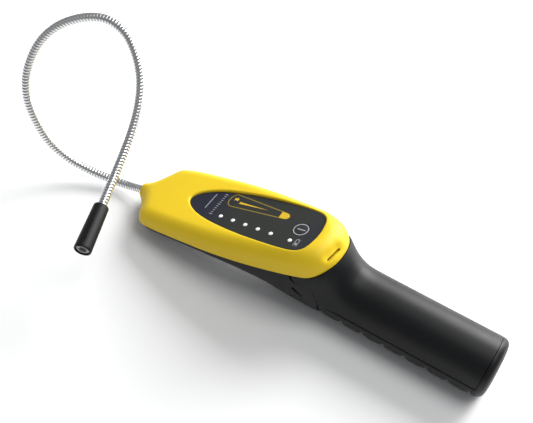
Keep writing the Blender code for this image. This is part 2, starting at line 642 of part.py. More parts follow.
def neck_segment(path):
    """Return a round-ended rod along a path of points a millimetre apart."""
    length = len(path) - 1
    stops = [0.2, 0.6, 1.6, NECK_RADIUS + 0.2]
    inner = [stops[-1] + (length - 2 * stops[-1]) * step / 7 for step in range(1, 7)]
    stations = stops + inner + [length - stop for stop in reversed(stops)]
    normal = Vector((0, 0, 1))
    rings = []
    for station in stations:
        low = min(int(station), length - 1)
        centre = path[low].lerp(path[low + 1], station - low)
        tangent = (path[min(low + 2, length)] - path[max(low - 1, 0)]).normalized()
        normal = (normal - tangent * normal.dot(tangent)).normalized()
        side = tangent.cross(normal)
        inset = max(0.0, NECK_RADIUS + 0.15 - min(station, length - station))
        radius = math.sqrt(max(NECK_RADIUS ** 2 - inset ** 2, 0.25))
        rings.append([centre + radius * (normal * math.cos(a) + side * math.sin(a))
                      for a in (math.tau * k / 10 for k in range(10))])
    return loft(rings)


def make_sensor(materials, route):
    """Socket on the neck's end, the plug-in sensor and the sleeve that slides over both."""
    end = route[-1]
    axis = (Vector(SENSOR_TIP) - end).normalized()
    stand = along(end, axis)
    socket = ((0, 0.5), (3.7, 0.5), (4.45, 1.3), (4.45, 15.6), (0, 15.6))
    piece("sensor_socket", turned(socket, 20), materials["dark_plastic"], None, stand)
    can = ((0, 16.2), (SENSOR_RADIUS, 16.2), (SENSOR_RADIUS, 34.6), (SENSOR_RADIUS - 0.7, 35.3), (2.6, 35.3),
           (2.6, 34.2), (0, 34.2))
    piece("gas_sensor", turned(can, 24), materials["sensor_steel"], None, stand)
    piece("sensor_gauze", rod(2.3, 34.5, 35.0, 16), materials["dark_plastic"], None, stand)
    bore = SENSOR_RADIUS + GAP
    sleeve = ((bore, 1.2), (5.05, 1.2), (5.2, 1.8), (5.9, SLEEVE_LENGTH - 1.0), (5.5, SLEEVE_LENGTH),
              (bore, SLEEVE_LENGTH))
    piece("sensor_sleeve", turned_ring(sleeve, 28), materials["black_abs"], None, stand)


def turned_ring(profile, sides):
    """Return a bmesh turned about Z from a closed (radius, height) outline."""
    bm = bmesh.new()
    verts = [bm.verts.new((radius, 0.0, height)) for radius, height in profile]
    edges = [bm.edges.new((a, b)) for a, b in zip(verts, verts[1:] + verts[:1])]
    bmesh.ops.spin(bm, geom=verts + edges, axis=(0, 0, 1), cent=(0, 0, 0),
                   steps=sides, angle=math.tau, use_merge=True)
    bmesh.ops.remove_doubles(bm, verts=bm.verts, dist=1e-4)
    return bm


clear_scene()
MATERIALS = make_materials()
HEAD = make_head_frame()
make_head_cover(MATERIALS, HEAD)
make_lower_housing(MATERIALS, HEAD)
make_handle_shell(MATERIALS, HEAD)
make_battery_door(MATERIALS)
make_controls(MATERIALS, HEAD)
make_board(MATERIALS, HEAD)
make_case_screws(MATERIALS, HEAD)
make_cells(MATERIALS)
make_sensor(MATERIALS, make_neck(MATERIALS, HEAD))
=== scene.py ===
"""Looks of a portable gas detector: yellow head, black housing and handle, wound steel neck.

Shapes are modelled in millimetres and turned to metres as they become pieces.  The head is
modelled in its own tilted frame (u along the head towards the handle, y across, n up from the
label); everything behind it in the row frame (x along the handle, z up from the table).
"""

import math

import bmesh
import bpy
from mathutils import Matrix, Quaternion, Vector
from mathutils.geometry import intersect_point_line
from mathutils.kdtree import KDTree


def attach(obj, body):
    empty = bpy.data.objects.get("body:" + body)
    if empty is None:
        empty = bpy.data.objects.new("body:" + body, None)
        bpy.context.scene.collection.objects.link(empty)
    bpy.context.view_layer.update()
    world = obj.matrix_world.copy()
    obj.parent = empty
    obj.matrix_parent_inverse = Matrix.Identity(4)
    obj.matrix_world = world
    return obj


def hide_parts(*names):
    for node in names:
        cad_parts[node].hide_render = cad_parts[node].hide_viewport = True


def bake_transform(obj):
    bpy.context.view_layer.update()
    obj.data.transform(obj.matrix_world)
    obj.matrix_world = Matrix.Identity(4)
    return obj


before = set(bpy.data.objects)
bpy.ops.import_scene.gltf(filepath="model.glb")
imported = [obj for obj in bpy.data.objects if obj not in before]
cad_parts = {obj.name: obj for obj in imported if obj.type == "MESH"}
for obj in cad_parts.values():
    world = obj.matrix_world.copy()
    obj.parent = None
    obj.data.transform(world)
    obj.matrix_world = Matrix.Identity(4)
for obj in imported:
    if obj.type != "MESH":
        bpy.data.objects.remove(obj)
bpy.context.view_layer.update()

# ---------------------------------------------------------------- viewpoint
# A three-quarter view from the operator's right, well above the table, with the
# camera rolled a little so that the handle runs down to the right.
VIEW_AZIMUTH = math.radians(27.06)
VIEW_ELEVATION = math.radians(50.29)
VIEW_ROLL = math.radians(6.2)
VIEW_PLACE = Vector((0.0571, -0.3312, 0.5049))
VIEW_LENS = 59.57

view_line = Vector((-math.sin(VIEW_AZIMUTH) * math.cos(VIEW_ELEVATION),
                    math.cos(VIEW_AZIMUTH) * math.cos(VIEW_ELEVATION), -math.sin(VIEW_ELEVATION)))
camera = bpy.data.objects.new("camera", bpy.data.cameras.new("camera"))
camera.data.lens = VIEW_LENS
camera.data.sensor_width = 36.0
camera.data.clip_start = 0.02
camera.rotation_mode = "QUATERNION"
camera.rotation_quaternion = view_line.to_track_quat("-Z", "Y") @ Quaternion((0, 0, 1), VIEW_ROLL)
camera.location = VIEW_PLACE
bpy.context.scene.collection.objects.link(camera)
bpy.context.scene.camera = camera

# ---------------------------------------------------------------- table and light
# A sheet of matt white board under a large soft box behind the detector, a lower one farther
# back, a weak one above and a pale room: shadows are wide and fall towards the front.
TABLE_SIZE = 8.0
ROOM_STRENGTH = 0.3


def srgb(text):
    """Turn an sRGB hex colour to linear RGBA."""
    parts = [int(text[i:i + 2], 16) / 255 for i in (1, 3, 5)]
    return (*[c / 12.92 if c <= 0.04045 else ((c + 0.055) / 1.055) ** 2.4 for c in parts], 1.0)


def add_node(tree, kind, settings=None, links=None):
    """Add a node with its settings, and link the given output sockets to its inputs."""
    made = tree.nodes.new(kind)
    for key, value in (settings or {}).items():
        if isinstance(key, int) or key in made.inputs:
            made.inputs[key].default_value = value
        else:
            setattr(made, key, value)
    for key, socket in (links or {}).items():
        tree.links.new(socket, made.inputs[key])
    return made


def make_finish(name, colour, roughness, metallic=0.0, ior=1.5):
    """Return a material with its constant values on the shader's own sockets."""
    finish = bpy.data.materials.new(name)
    finish.use_nodes = True
    shader = finish.node_tree.nodes["Principled BSDF"]
    shader.inputs["Base Color"].default_value = srgb(colour)
    shader.inputs["Roughness"].default_value = roughness
    shader.inputs["Metallic"].default_value = metallic
    shader.inputs["IOR"].default_value = ior
    return finish


def add_light(name, place, aim, size, power):
    """Hang a square soft box that faces a point."""
    light = bpy.data.lights.new(name, "AREA")
    light.size = size
    light.energy = power
    holder = bpy.data.objects.new(name, light)
    holder.location = place
    holder.rotation_mode = "QUATERNION"
    holder.rotation_quaternion = (Vector(aim) - Vector(place)).to_track_quat("-Z", "Y")
    bpy.context.scene.collection.objects.link(holder)


bpy.context.scene.view_settings.view_transform = "Standard"
room = bpy.data.worlds.new("pale_room")
room.use_nodes = True
room.node_tree.nodes["Background"].inputs["Color"].default_value = srgb("#F6F8FA")
room.node_tree.nodes["Background"].inputs["Strength"].default_value = ROOM_STRENGTH
bpy.context.scene.world = room
add_light("soft_box_behind", (0.15, 1.25, 0.9), (-0.12, 0.0, 0.03), 0.9, 30.0)
add_light("soft_box_low_behind", (0.45, 1.5, 0.4), (-0.05, 0.0, 0.03), 1.0, 14.0)
add_light("soft_box_above", (0.5, 0.2, 1.6), (-0.1, 0.0, 0.03), 0.9, 10.0)

bm = bmesh.new()
bmesh.ops.create_grid(bm, x_segments=1, y_segments=1, size=TABLE_SIZE / 2)
table_mesh = bpy.data.meshes.new("table")
bm.to_mesh(table_mesh)
bm.free()
table = bpy.data.objects.new("table", table_mesh)
table_mesh.materials.append(make_finish("matt_white_board", "#FBFBFB", 0.75))
bpy.context.scene.collection.objects.link(table)

# ---------------------------------------------------------------- head cover
# The cover is one moulding of satin yellow ABS, 2.2 mm thick, with a sunk seat for the
# label and a dished sound slot at its rear.  Four screws from below hold it down.
MM = 0.001
HEAD_PLACE = Matrix.Translation((-172.5, 0.0, 30.0)) @ Matrix.Rotation(-math.radians(17.3), 4, "Y")
COVER_EDGE = (
    (-45.2, 0.0), (-45.2, 3.0), (-44.9, 5.6), (-43.8, 7.2), (-42.2, 8.6), (-40.0, 11.0),
    (-37.4, 14.7), (-34.4, 19.6), (-31.3, 24.9), (-26.8, 28.5), (-19.5, 30.1), (-8.0, 31.2),
    (10.0, 32.0), (30.0, 32.3), (50.0, 31.4), (70.0, 29.5), (88.0, 27.3), (100.0, 25.4),
    (106.5, 23.7), (111.0, 21.3), (114.6, 18.2), (117.5, 14.2), (119.6, 9.4), (120.6, 4.6),
    (120.8, 0.0),
)
COVER_TOP = ((-45.2, 0.0), (-40.0, 0.3), (-30.0, 0.9), (-20.0, 1.3), (-8.0, 1.5), (120.8, 1.5))
COVER_DEPTH = (
    (-45.2, 8.2), (-30.0, 8.3), (-20.0, 8.5), (-8.0, 8.8), (10.0, 9.7), (30.0, 11.3), (50.0, 13.2),
    (70.0, 15.0), (88.0, 16.1), (100.0, 16.7), (105.0, 16.9), (110.0, 16.3), (114.0, 15.2),
    (118.0, 13.9), (120.8, 13.2),
)
COVER_ROUNDING = ((-45.2, 10.0), (-20.0, 11.0), (95.0, 11.0), (108.0, 14.0), (120.8, 14.6))
COVER_WALL = 2.2
COVER_POINTS = 260
SKIN_STEPS = 30
SKIN_LEAST_RISE = 0.35
CEILING_LEAST_RISE = 0.6
RIM_CHAMFER = 0.3
RIM_CHAMFER_SHARE = 0.13
NOSE_ROUNDING = 1.2
LABEL_EDGE = (
    (0.6, 0.0), (1.3, 2.4), (3.2, 5.0), (6.6, 7.8), (12.0, 10.8), (20.0, 13.7), (30.0, 16.0),
    (45.0, 18.2), (62.0, 19.5), (80.0, 19.7), (92.0, 19.0), (97.6, 17.7), (101.0, 15.2),
    (102.9, 12.0), (104.3, 6.0), (104.8, 0.0),
)
SEAT_CLEARANCE = 0.3
SEAT_LIP = 1.3
LIP_STEPS = 8
SEAT_FLOOR = -0.8
COVER_CEILING = -3.0
KEY_PLACE = (91.1, 0.0)
KEY_RADIUS = 5.7
LAMP_PLACES = [(31.7 + 10.53 * step, -8.3 - 0.56 * step) for step in (0, 1, 2, 3, 4, 5.46)]
LAMP_RADIUS = 1.5
LAMP_CLEARANCE = 0.3
KEY_CLEARANCE = 0.4
NECK_HEIGHT = -6.0
NECK_HOLE_RADIUS = 3.9
PORT_PLACE = Vector((118.45, -6.0, -7.6))
PORT_ALONG = Vector((0.092, 0.996, 0.0))
PORT_OUT = Vector((0.928, -0.086, 0.372))
PORT_SIZE = (12.4, 1.7)
PORT_DEPTH = 5.0
# Depth and clearance of the near-black block that paints the shade inside the sound slot.
SLOT_SHADE_DEPTH = 2.6
SLOT_SHADE_GAP = 0.1
DISH_RISE = 1.9
DISH_REACH = (7.6, 3.4)
DISH_DEPTH = 1.9


def read_table(rows, x, column=1):
    """Read a column of a station table along a smooth curve that never overshoots."""
    if x <= rows[0][0]:
        return rows[0][column]
    if x >= rows[-1][0]:
        return rows[-1][column]
    i = max(k for k in range(len(rows) - 1) if rows[k][0] <= x)
    slopes = [(b[column] - a[column]) / (b[0] - a[0]) for a, b in zip(rows, rows[1:])]

    def tangent(k):
        if k == 0 or k == len(rows) - 1:
            return slopes[min(k, len(slopes) - 1)]
        low, high = slopes[k - 1], slopes[k]
        return 0.0 if low * high <= 0 else 2 * low * high / (low + high)

    width = rows[i + 1][0] - rows[i][0]
    t = (x - rows[i][0]) / width
    a, b = rows[i][column], rows[i + 1][column]
    return ((2 * t ** 3 - 3 * t ** 2 + 1) * a + (3 * t ** 2 - 2 * t ** 3) * b
            + (t ** 3 - 2 * t ** 2 + t) * width * tangent(i)
            + (t ** 3 - t ** 2) * width * tangent(i + 1))


def even_curve(points, count):
    """Return evenly spaced points of a smooth curve through points; the end ones steer it."""
    fine = []
    for a, b, c, d in zip(points, points[1:], points[2:], points[3:]):
        for step in range(24):
            t = step / 24
            fine.append(0.5 * (2 * b + (c - a) * t + (2 * a - 5 * b + 4 * c - d) * t * t
                               + (3 * b - 3 * c + d - a) * t ** 3))
    fine.append(points[-2])
    walked = [0.0]
    for a, b in zip(fine, fine[1:]):
        walked.append(walked[-1] + (b - a).length)
    even, k = [], 0
    for step in range(count):
        target = walked[-1] * step / (count - 1)
        while k < len(fine) - 2 and walked[k + 1] < target:
            k += 1
        even.append(fine[k].lerp(fine[k + 1], (target - walked[k]) / (walked[k + 1] - walked[k])))
    return even


def mirrored_loop(side, count):
    """Return a closed outline from one side of it, from its front end to its rear end."""
    points = [Vector(point) for point in side]
    flip = Matrix.Diagonal((1, -1))
    half = even_curve([flip @ points[1], *points, flip @ points[-2]], count // 2 + 1)
    return half + [flip @ point for point in half[-2:0:-1]]


def grown_loop(loop, margin):
    """Return a closed outline moved outwards by a margin."""
    moved = []
    for i, point in enumerate(loop):
        along = loop[(i + 1) % len(loop)] - loop[i - 1]
        moved.append(point + Vector((-along.y, along.x)).normalized() * margin)
    return moved


def extrude_through(loops):
    """Return a closed bmesh: a ring of edges extruded through loops and capped at its ends."""
    bm = bmesh.new()
    ring = [bm.verts.new(point) for point in loops[0]]
    for pair in zip(ring, ring[1:] + ring[:1]):
        bm.edges.new(pair)
    bm.faces.new(ring)
    for loop in loops[1:]:
        edges = [bm.edges.get(pair) for pair in zip(ring, ring[1:] + ring[:1])]
        made = bmesh.ops.extrude_edge_only(bm, edges=edges)["geom"]
        fresh = {item for item in made if isinstance(item, bmesh.types.BMVert)}
        ring = [next(edge.other_vert(vert) for edge in vert.link_edges
                     if edge.other_vert(vert) in fresh) for vert in ring]
        for vert, point in zip(ring, loop):
            vert.co = point
    bm.faces.new(ring)
    return bm


def lathe(profile, sides, place=None):
    """Return a bmesh turned about the local Z axis from (radius, height) points."""
    bm = bmesh.new()
    verts = [bm.verts.new((radius, 0.0, height)) for radius, height in profile]
    edges = [bm.edges.new(pair) for pair in zip(verts, verts[1:])]
    bmesh.ops.spin(bm, geom=verts + edges, axis=(0, 0, 1), cent=(0, 0, 0),
                   steps=sides, angle=math.tau, use_merge=True)
    bmesh.ops.remove_doubles(bm, verts=bm.verts, dist=1e-4)
    if place is not None:
        bm.transform(place)
    return bm


def plug(radius, low, high, sides, place=None):
    """Return a plain round plug between two heights, for cutting holes and bores."""
    return lathe(((0, low), (radius, low), (radius, high), (0, high)), sides, place)


def box_shape(low, high, place=None, bevel=0.0):
    """Return a box between two corners, with rounded edges if a bevel is given."""
    bm = bmesh.new()
    bmesh.ops.create_cube(bm, size=1.0)
    low, high = Vector(low), Vector(high)
    bmesh.ops.scale(bm, vec=high - low, verts=bm.verts)
    bmesh.ops.translate(bm, vec=(high + low) / 2, verts=bm.verts)
    if bevel:
        bmesh.ops.bevel(bm, geom=bm.edges[:], offset=bevel, segments=4, profile=0.5, material=-1,
                        affect="EDGES")
    if place is not None:
        bm.transform(place)
    return bm


def joined(shapes):
    """Put several separate shapes in one bmesh."""
    whole = bmesh.new()
    for shape in shapes:
        mesh = bpy.data.meshes.new("part")
        shape.to_mesh(mesh)
        shape.free()
        whole.from_mesh(mesh)
        bpy.data.meshes.remove(mesh)
    return whole


def make_piece(name, bm, finish, place=None, sharp=35.0):
    """Turn a bmesh in millimetres into an object whose place is in its mesh."""
    bmesh.ops.recalc_face_normals(bm, faces=bm.faces)
    if bm.calc_volume(signed=True) < 0:
        bmesh.ops.reverse_faces(bm, faces=bm.faces)
    bm.transform(Matrix.Scale(MM, 4) @ (place or Matrix.Identity(4)))
    mesh = bpy.data.meshes.new(name)
    bm.to_mesh(mesh)
    bm.free()
    mesh.shade_smooth()
    mesh.set_sharp_from_angle(angle=math.radians(sharp))
    if finish is not None:
        mesh.materials.append(finish)
    item = bpy.data.objects.new(name, mesh)
    bpy.context.scene.collection.objects.link(item)
    return item


def carve(item, bm, place=None, operation="DIFFERENCE"):
    """Cut a shape out of a piece, or join it to the piece, and keep the result as its mesh."""
    tool = make_piece("tool", bm, None, place)
    modifier = item.modifiers.new("carve", "BOOLEAN")
    modifier.object = tool
    modifier.operation = operation
    modifier.solver = "EXACT"
    graph = bpy.context.evaluated_depsgraph_get()
    mesh = bpy.data.meshes.new_from_object(item.evaluated_get(graph))
    item.modifiers.clear()
    mesh.shade_smooth()
    mesh.set_sharp_from_angle(angle=math.radians(35))
    old = item.data
    item.data = mesh
    bpy.data.meshes.remove(old)
    tool_mesh = tool.data
    bpy.data.objects.remove(tool)
    bpy.data.meshes.remove(tool_mesh)


def soften(item, sharp, width, segments, wanted):
    """Round the edges sharper than an angle whose middle, in millimetres, is wanted."""
    bm = bmesh.new()
    bm.from_mesh(item.data)
    bmesh.ops.remove_doubles(bm, verts=bm.verts, dist=2e-6)
    edges = [edge for edge in bm.edges if len(edge.link_faces) == 2
             and edge.calc_face_angle(0.0) > math.radians(sharp)
             and wanted((edge.verts[0].co + edge.verts[1].co) / 2 / MM)]
    bmesh.ops.bevel(bm, geom=edges, offset=width * MM, segments=segments, profile=0.5, material=-1,
                    affect="EDGES", clamp_overlap=True)
    bm.to_mesh(item.data)
    bm.free()
    item.data.shade_smooth()
    item.data.set_sharp_from_angle(angle=math.radians(35))


cover_loop = mirrored_loop(COVER_EDGE, COVER_POINTS)
label_loop = mirrored_loop(LABEL_EDGE, COVER_POINTS)
side_line = [Vector((-90.0, 6.8))] + [point for point in cover_loop if point.x > -44.2]
side_line = [point for point in side_line if point.y >= 0]
side_tree = KDTree(len(side_line))
for number, point in enumerate(side_line):
    side_tree.insert((point.x, point.y, 0.0), number)
side_tree.balance()


def distance_from_side(point):
    """Return how far a point of the plan is inside the cover's side line."""
    flat = Vector((point.x, abs(point.y)))
    _, nearest, _ = side_tree.find((flat.x, flat.y, 0.0))
    best = (flat - side_line[nearest]).length
    for k in (nearest - 1, nearest):
        if 0 <= k < len(side_line) - 1:
            foot, part = intersect_point_line(flat, side_line[k], side_line[k + 1])
            if 0.0 <= part <= 1.0:
                best = min(best, (flat - foot).length)
    return best


def cover_height(point, inset=0.0):
    """Return the height of the cover's skin over a point of the plan."""
    top = read_table(COVER_TOP, point.x)
    rounding = read_table(COVER_ROUNDING, point.x)
    fall = min(rounding, top + read_table(COVER_DEPTH, point.x))
    inside = max(0.0, distance_from_side(point) - inset)
    height = top
    if inside < rounding:
        height -= fall * (1 - math.sqrt(1 - (1 - inside / rounding) ** 2))
    ahead = point.x - COVER_EDGE[0][0] - inset
    if ahead < NOSE_ROUNDING:
        short = NOSE_ROUNDING - max(ahead, 0.0)
        height -= NOSE_ROUNDING - math.sqrt(NOSE_ROUNDING ** 2 - short ** 2)
    return height


def dished(spot):
    """Return a point of the cover's skin, pressed in if it lies in the sound slot's dish."""
    up = PORT_OUT.cross(PORT_ALONG)
    away = Vector(spot) - PORT_PLACE - up * DISH_RISE
    near = (away.dot(PORT_ALONG) / DISH_REACH[0]) ** 4 + (away.dot(up) / DISH_REACH[1]) ** 2
    return tuple(Vector(spot) - PORT_OUT * DISH_DEPTH * math.exp(-near))


def cover_loops():
    """Yield the cover's loops: ceiling, inner wall, rim, outer wall and the label's seat."""
    seat = grown_loop(label_loop, SEAT_CLEARANCE)
    lip = grown_loop(label_loop, SEAT_CLEARANCE + SEAT_LIP)
    inner = []
    for point, outer, target in zip(cover_loop, grown_loop(cover_loop, 1.0), seat):
        inward = (target - point).normalized()
        slant = max(0.1, inward.dot(point - outer))
        inner.append(point + inward * min(COVER_WALL / slant, 2 * COVER_WALL))
    for part in (1.0, 0.7, 0.45, 0.25, 0.12, 0.05, 0.0):
        ring = []
        for a, b in zip(inner, seat):
            point = a.lerp(b, part)
            height = min(cover_height(point, COVER_WALL) - COVER_WALL, COVER_CEILING)
            floor = CEILING_LEAST_RISE - read_table(COVER_DEPTH, point.x)
            if (point - PORT_PLACE.xy).length < PORT_SIZE[0]:
                height = floor
            ring.append((*point, max(height, floor)))
        yield ring
    yield [(*point, -read_table(COVER_DEPTH, point.x)) for point in inner]
    rim = [(point, -read_table(COVER_DEPTH, point.x)) for point in cover_loop]
    yield [(*point.lerp(wall, RIM_CHAMFER_SHARE), height)
           for (point, height), wall in zip(rim, inner)]
    yield [(*point, height + RIM_CHAMFER) for point, height in rim]
    for step in range(SKIN_STEPS + 1):
        part = (step / SKIN_STEPS) ** 1.8
        ring = []
        for a, b in zip(cover_loop, lip):
            point = a.lerp(b, part)
            lowest = SKIN_LEAST_RISE - read_table(COVER_DEPTH, point.x)
            ring.append(dished((*point, max(cover_height(point), lowest))))
        yield ring
    for step in range(1, LIP_STEPS + 1):
        angle = math.pi / 2 * step / LIP_STEPS
        ring = []
        for point in grown_loop(label_loop, SEAT_CLEARANCE + SEAT_LIP * (1 - math.sin(angle))):
            ring.append((*point, cover_height(point) - SEAT_LIP * (1 - math.cos(angle))))
        yield ring
    yield [(*point, SEAT_FLOOR) for point in seat]


GLOSS_PATCH = 18.0


def fine_grain(finish, grain_mm, depth_mm, rough_low, rough_high):
    """Give a finish its fine grain, such as a tool's spark erosion, and a slightly uneven gloss."""
    tree = finish.node_tree
    shader = tree.nodes["Principled BSDF"]
    spot = add_node(tree, "ShaderNodeTexCoord").outputs["Object"]
    grain = add_node(tree, "ShaderNodeTexNoise", {"Scale": 1 / (grain_mm * MM), "Detail": 2.0},
                     {"Vector": spot})
    bump = add_node(tree, "ShaderNodeBump", {"Strength": 0.5, "Distance": depth_mm * MM},
                    {"Height": grain.outputs["Fac"]})
    tree.links.new(bump.outputs["Normal"], shader.inputs["Normal"])
    patches = add_node(tree, "ShaderNodeTexNoise", {"Scale": 1 / (GLOSS_PATCH * MM), "Detail": 3.0},
                       {"Vector": spot})
    gloss = add_node(tree, "ShaderNodeMapRange", {"To Min": rough_low, "To Max": rough_high},
                     {"Value": patches.outputs["Fac"]})
    tree.links.new(gloss.outputs["Result"], shader.inputs["Roughness"])


# Yellow ABS from a lightly eroded tool: an even, warm yellow with a soft wide highlight.  The
# grain is 0.5 mm, coarser than the real one, so that it still shows.
yellow_abs = make_finish("moulded_yellow_abs", "#ECC91A", 0.5, ior=1.42)
fine_grain(yellow_abs, 0.5, 0.012, 0.46, 0.56)

head_cover = make_piece("head_cover_moulding", extrude_through(list(cover_loops())),
                        yellow_abs, HEAD_PLACE)
hole_shapes = [plug(LAMP_RADIUS + LAMP_CLEARANCE, -6, 3, 24, Matrix.Translation((*place, 0.0)))
               for place in LAMP_PLACES]
hole_shapes.append(plug(KEY_RADIUS + KEY_CLEARANCE, -6, 3, 64,
                        Matrix.Translation((*KEY_PLACE, 0.0))))
neck_turn = Matrix.Translation((0, 0, NECK_HEIGHT)) @ Matrix.Rotation(math.pi / 2, 4, "Y")
hole_shapes.append(plug(NECK_HOLE_RADIUS, -60, -33, 40, neck_turn))
carve(head_cover, joined(hole_shapes), HEAD_PLACE)
port_axes = Matrix((PORT_OUT, PORT_ALONG, PORT_OUT.cross(PORT_ALONG))).transposed()
port_turn = Matrix.Translation(PORT_PLACE) @ port_axes.to_4x4()
half_long, half_high = PORT_SIZE[0] / 2, PORT_SIZE[1] / 2
slot = box_shape((-PORT_DEPTH, -half_long, -half_high), (3.0, half_long, half_high), port_turn)
carve(head_cover, slot, HEAD_PLACE)
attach(head_cover, "casing")
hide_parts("head_cover")

# A near-black matt block sits inside the slot: painted shade for the dark space behind the slot's
# mouth.
slot_shade_finish = make_finish("matt_black_painted_slot_shade", "#0B0B0C", 0.9)
fine_grain(slot_shade_finish, 0.6, 0.05, 0.85, 0.95)
slot_shade_low = (0.3 - PORT_DEPTH, SLOT_SHADE_GAP - half_long, SLOT_SHADE_GAP - half_high)
slot_shade_high = (-SLOT_SHADE_DEPTH, half_long - SLOT_SHADE_GAP, half_high - SLOT_SHADE_GAP)
slot_shade_fill = make_piece("sound_slot_painted_shade", box_shape(slot_shade_low, slot_shade_high, port_turn),
                  slot_shade_finish, HEAD_PLACE)
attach(slot_shade_fill, "casing")

# ---------------------------------------------------------------- label
# A polyester film, glued in the sunk seat round the key and the six lamps.  It is printed with
# a yellow wedge, a plain rule, a row of index ticks and a small battery sign.
FILM_THICKNESS = 0.5
INK_HEIGHT = 0.06
WEDGE = ((31.6, 2.3), (29.0, 4.2), (27.8, 7.0), (27.8, 10.6), (29.0, 13.6), (31.0, 15.3),
         (32.6, 15.1), (74.6, 10.7), (76.4, 10.0), (77.6, 8.6), (77.8, 6.9), (76.9, 5.4),
         (75.2, 4.6), (72.6, 4.4))
WEDGE_LINE = 0.75
WEDGE_TIP = ((70.4, 10.6), (74.6, 10.4), (76.2, 9.8), (77.3, 8.5), (77.5, 7.0), (76.7, 5.7),
             (75.1, 4.9), (70.6, 4.8))
JET = ((36.4, 6.9), (38.0, 7.0), (60.0, 8.3), (38.0, 8.7), (36.4, 8.7), (37.2, 7.8))
BURST = ((33.0, 9.4), (34.6, 8.7), (34.2, 10.0), (35.2, 10.4), (33.6, 11.2), (33.8, 12.2),
         (32.4, 11.2), (31.0, 11.4), (31.8, 10.0), (31.0, 8.8))
BATTERY_MARK = ((93.6, -14.6), (95.6, -14.6), (95.6, -9.2), (93.6, -9.2))
BATTERY_LINE = 0.4
TICK_COUNT = 11
TICK_PLACE = (23.3, -8.6)
TICK_SPACING = 2.04
LABEL_MIDDLE = 0.1095
MIX_FIRST, MIX_SECOND, MIX_RESULT = 6, 7, 2


def filled_mark(points, high=INK_HEIGHT):
    """Return a flat mark with the given outline."""
    return extrude_through([[(*point, height) for point in points] for height in (0.0, high)])


def outlined_mark(points, width):
    """Return the outline of a mark, drawn as a line of a given width."""
    bm = bmesh.new()
    outer = [Vector(point) for point in points]
    inner = grown_loop(outer, -width)
    rings = [[bm.verts.new((*point, height)) for point in loop]
             for loop, height in ((outer, 0.0), (outer, INK_HEIGHT), (inner, INK_HEIGHT), (inner, 0.0))]
    for near, far in zip(rings, rings[1:] + rings[:1]):
        for i in range(len(outer)):
            bm.faces.new((near[i - 1], near[i], far[i], far[i - 1]))
    return bm


def bar_mark(u, y, length_u, length_y):
    """Return a straight bar centred on a point of the label."""
    return box_shape((u - length_u / 2, y - length_y / 2, 0.0),
                     (u + length_u / 2, y + length_y / 2, INK_HEIGHT))


# Polyester film: nearly matt, printed dark grey with a bluer border along its ends.
film_finish = make_finish("printed_polyester_film", "#32343A", 0.55, ior=1.38)
tree = film_finish.node_tree
spot = add_node(tree, "ShaderNodeTexCoord").outputs["Object"]
turned = add_node(tree, "ShaderNodeMapping", {"Location": (LABEL_MIDDLE, 0.0, 0.0)},
                  {"Vector": spot})
parts = add_node(tree, "ShaderNodeSeparateXYZ", None, {"Vector": turned.outputs["Vector"]})
away = add_node(tree, "ShaderNodeMath", {"operation": "ABSOLUTE"}, {0: parts.outputs["X"]})
border = add_node(tree, "ShaderNodeMapRange", {"From Min": 24 * MM, "From Max": 46 * MM},
                  {"Value": away.outputs[0]})
shade = add_node(tree, "ShaderNodeMix",
                 {"data_type": "RGBA", MIX_FIRST: srgb("#2B2D2A"), MIX_SECOND: srgb("#1F2232")},
                 {0: border.outputs["Result"]})
tree.links.new(shade.outputs[MIX_RESULT], tree.nodes["Principled BSDF"].inputs["Base Color"])
# Screen inks, printed on the film: flat and even.  Thin strokes of the yellow let the dark
# ground through, so they have a duller yellow of their own.
pale_ink = make_finish("screen_printed_pale_ink", "#A9ABB2", 0.5)
yellow_ink = make_finish("screen_printed_yellow_ink", "#D9B51E", 0.5)
thin_ink = make_finish("screen_printed_thin_yellow_ink", "#8C7A24", 0.5)

film_loops = [[(*point, height) for point in label_loop] for height in (-FILM_THICKNESS, 0.0)]
film = make_piece("label_film", extrude_through(film_loops), film_finish, HEAD_PLACE)
openings = [plug(LAMP_RADIUS + 0.1, -3, 3, 24, Matrix.Translation((*place, 0.0)))
            for place in LAMP_PLACES]
openings.append(plug(KEY_RADIUS + 0.25, -3, 3, 64, Matrix.Translation((*KEY_PLACE, 0.0))))
carve(film, joined(openings), HEAD_PLACE)
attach(film, "casing")
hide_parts("membrane_label")

yellow_marks = [filled_mark(WEDGE_TIP, INK_HEIGHT + 0.01), filled_mark(JET), filled_mark(BURST)]
yellow_print = make_piece("label_yellow_print", joined(yellow_marks), yellow_ink, HEAD_PLACE)
faint_print = make_piece("label_faint_print", outlined_mark(WEDGE, WEDGE_LINE),
                         thin_ink, HEAD_PLACE)
pale_marks = [bar_mark(16.0, 2.4, 0.55, 15.0), outlined_mark(BATTERY_MARK, BATTERY_LINE),
              bar_mark(94.6, -12.9, 1.0, 1.8), bar_mark(94.6, -8.8, 1.0, 0.5)]
for tick in range(TICK_COUNT):
    pale_marks.append(bar_mark(TICK_PLACE[0], TICK_PLACE[1] + TICK_SPACING * tick,
                               1.5 if tick % 5 else 2.4, 0.5))
pale_print = make_piece("label_pale_print", joined(pale_marks), pale_ink, HEAD_PLACE)
for item in (yellow_print, faint_print, pale_print):
    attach(item, "casing")

# ---------------------------------------------------------------- power key
# A round key under the film; the cut round it leaves a fine dark line.  It is the film's own
# colour and is printed with a ring and a bar.
KEY_PROFILE = ((0, -5.8), (2.0, -5.8), (2.0, -4.4), (7.0, -4.4), (7.0, -3.5), (KEY_RADIUS, -3.5),
               (KEY_RADIUS, -0.25), (KEY_RADIUS - 0.1, -0.06), (KEY_RADIUS - 0.3, 0), (0, 0))
RING_OUTER = 5.35
RING_INNER = 4.7

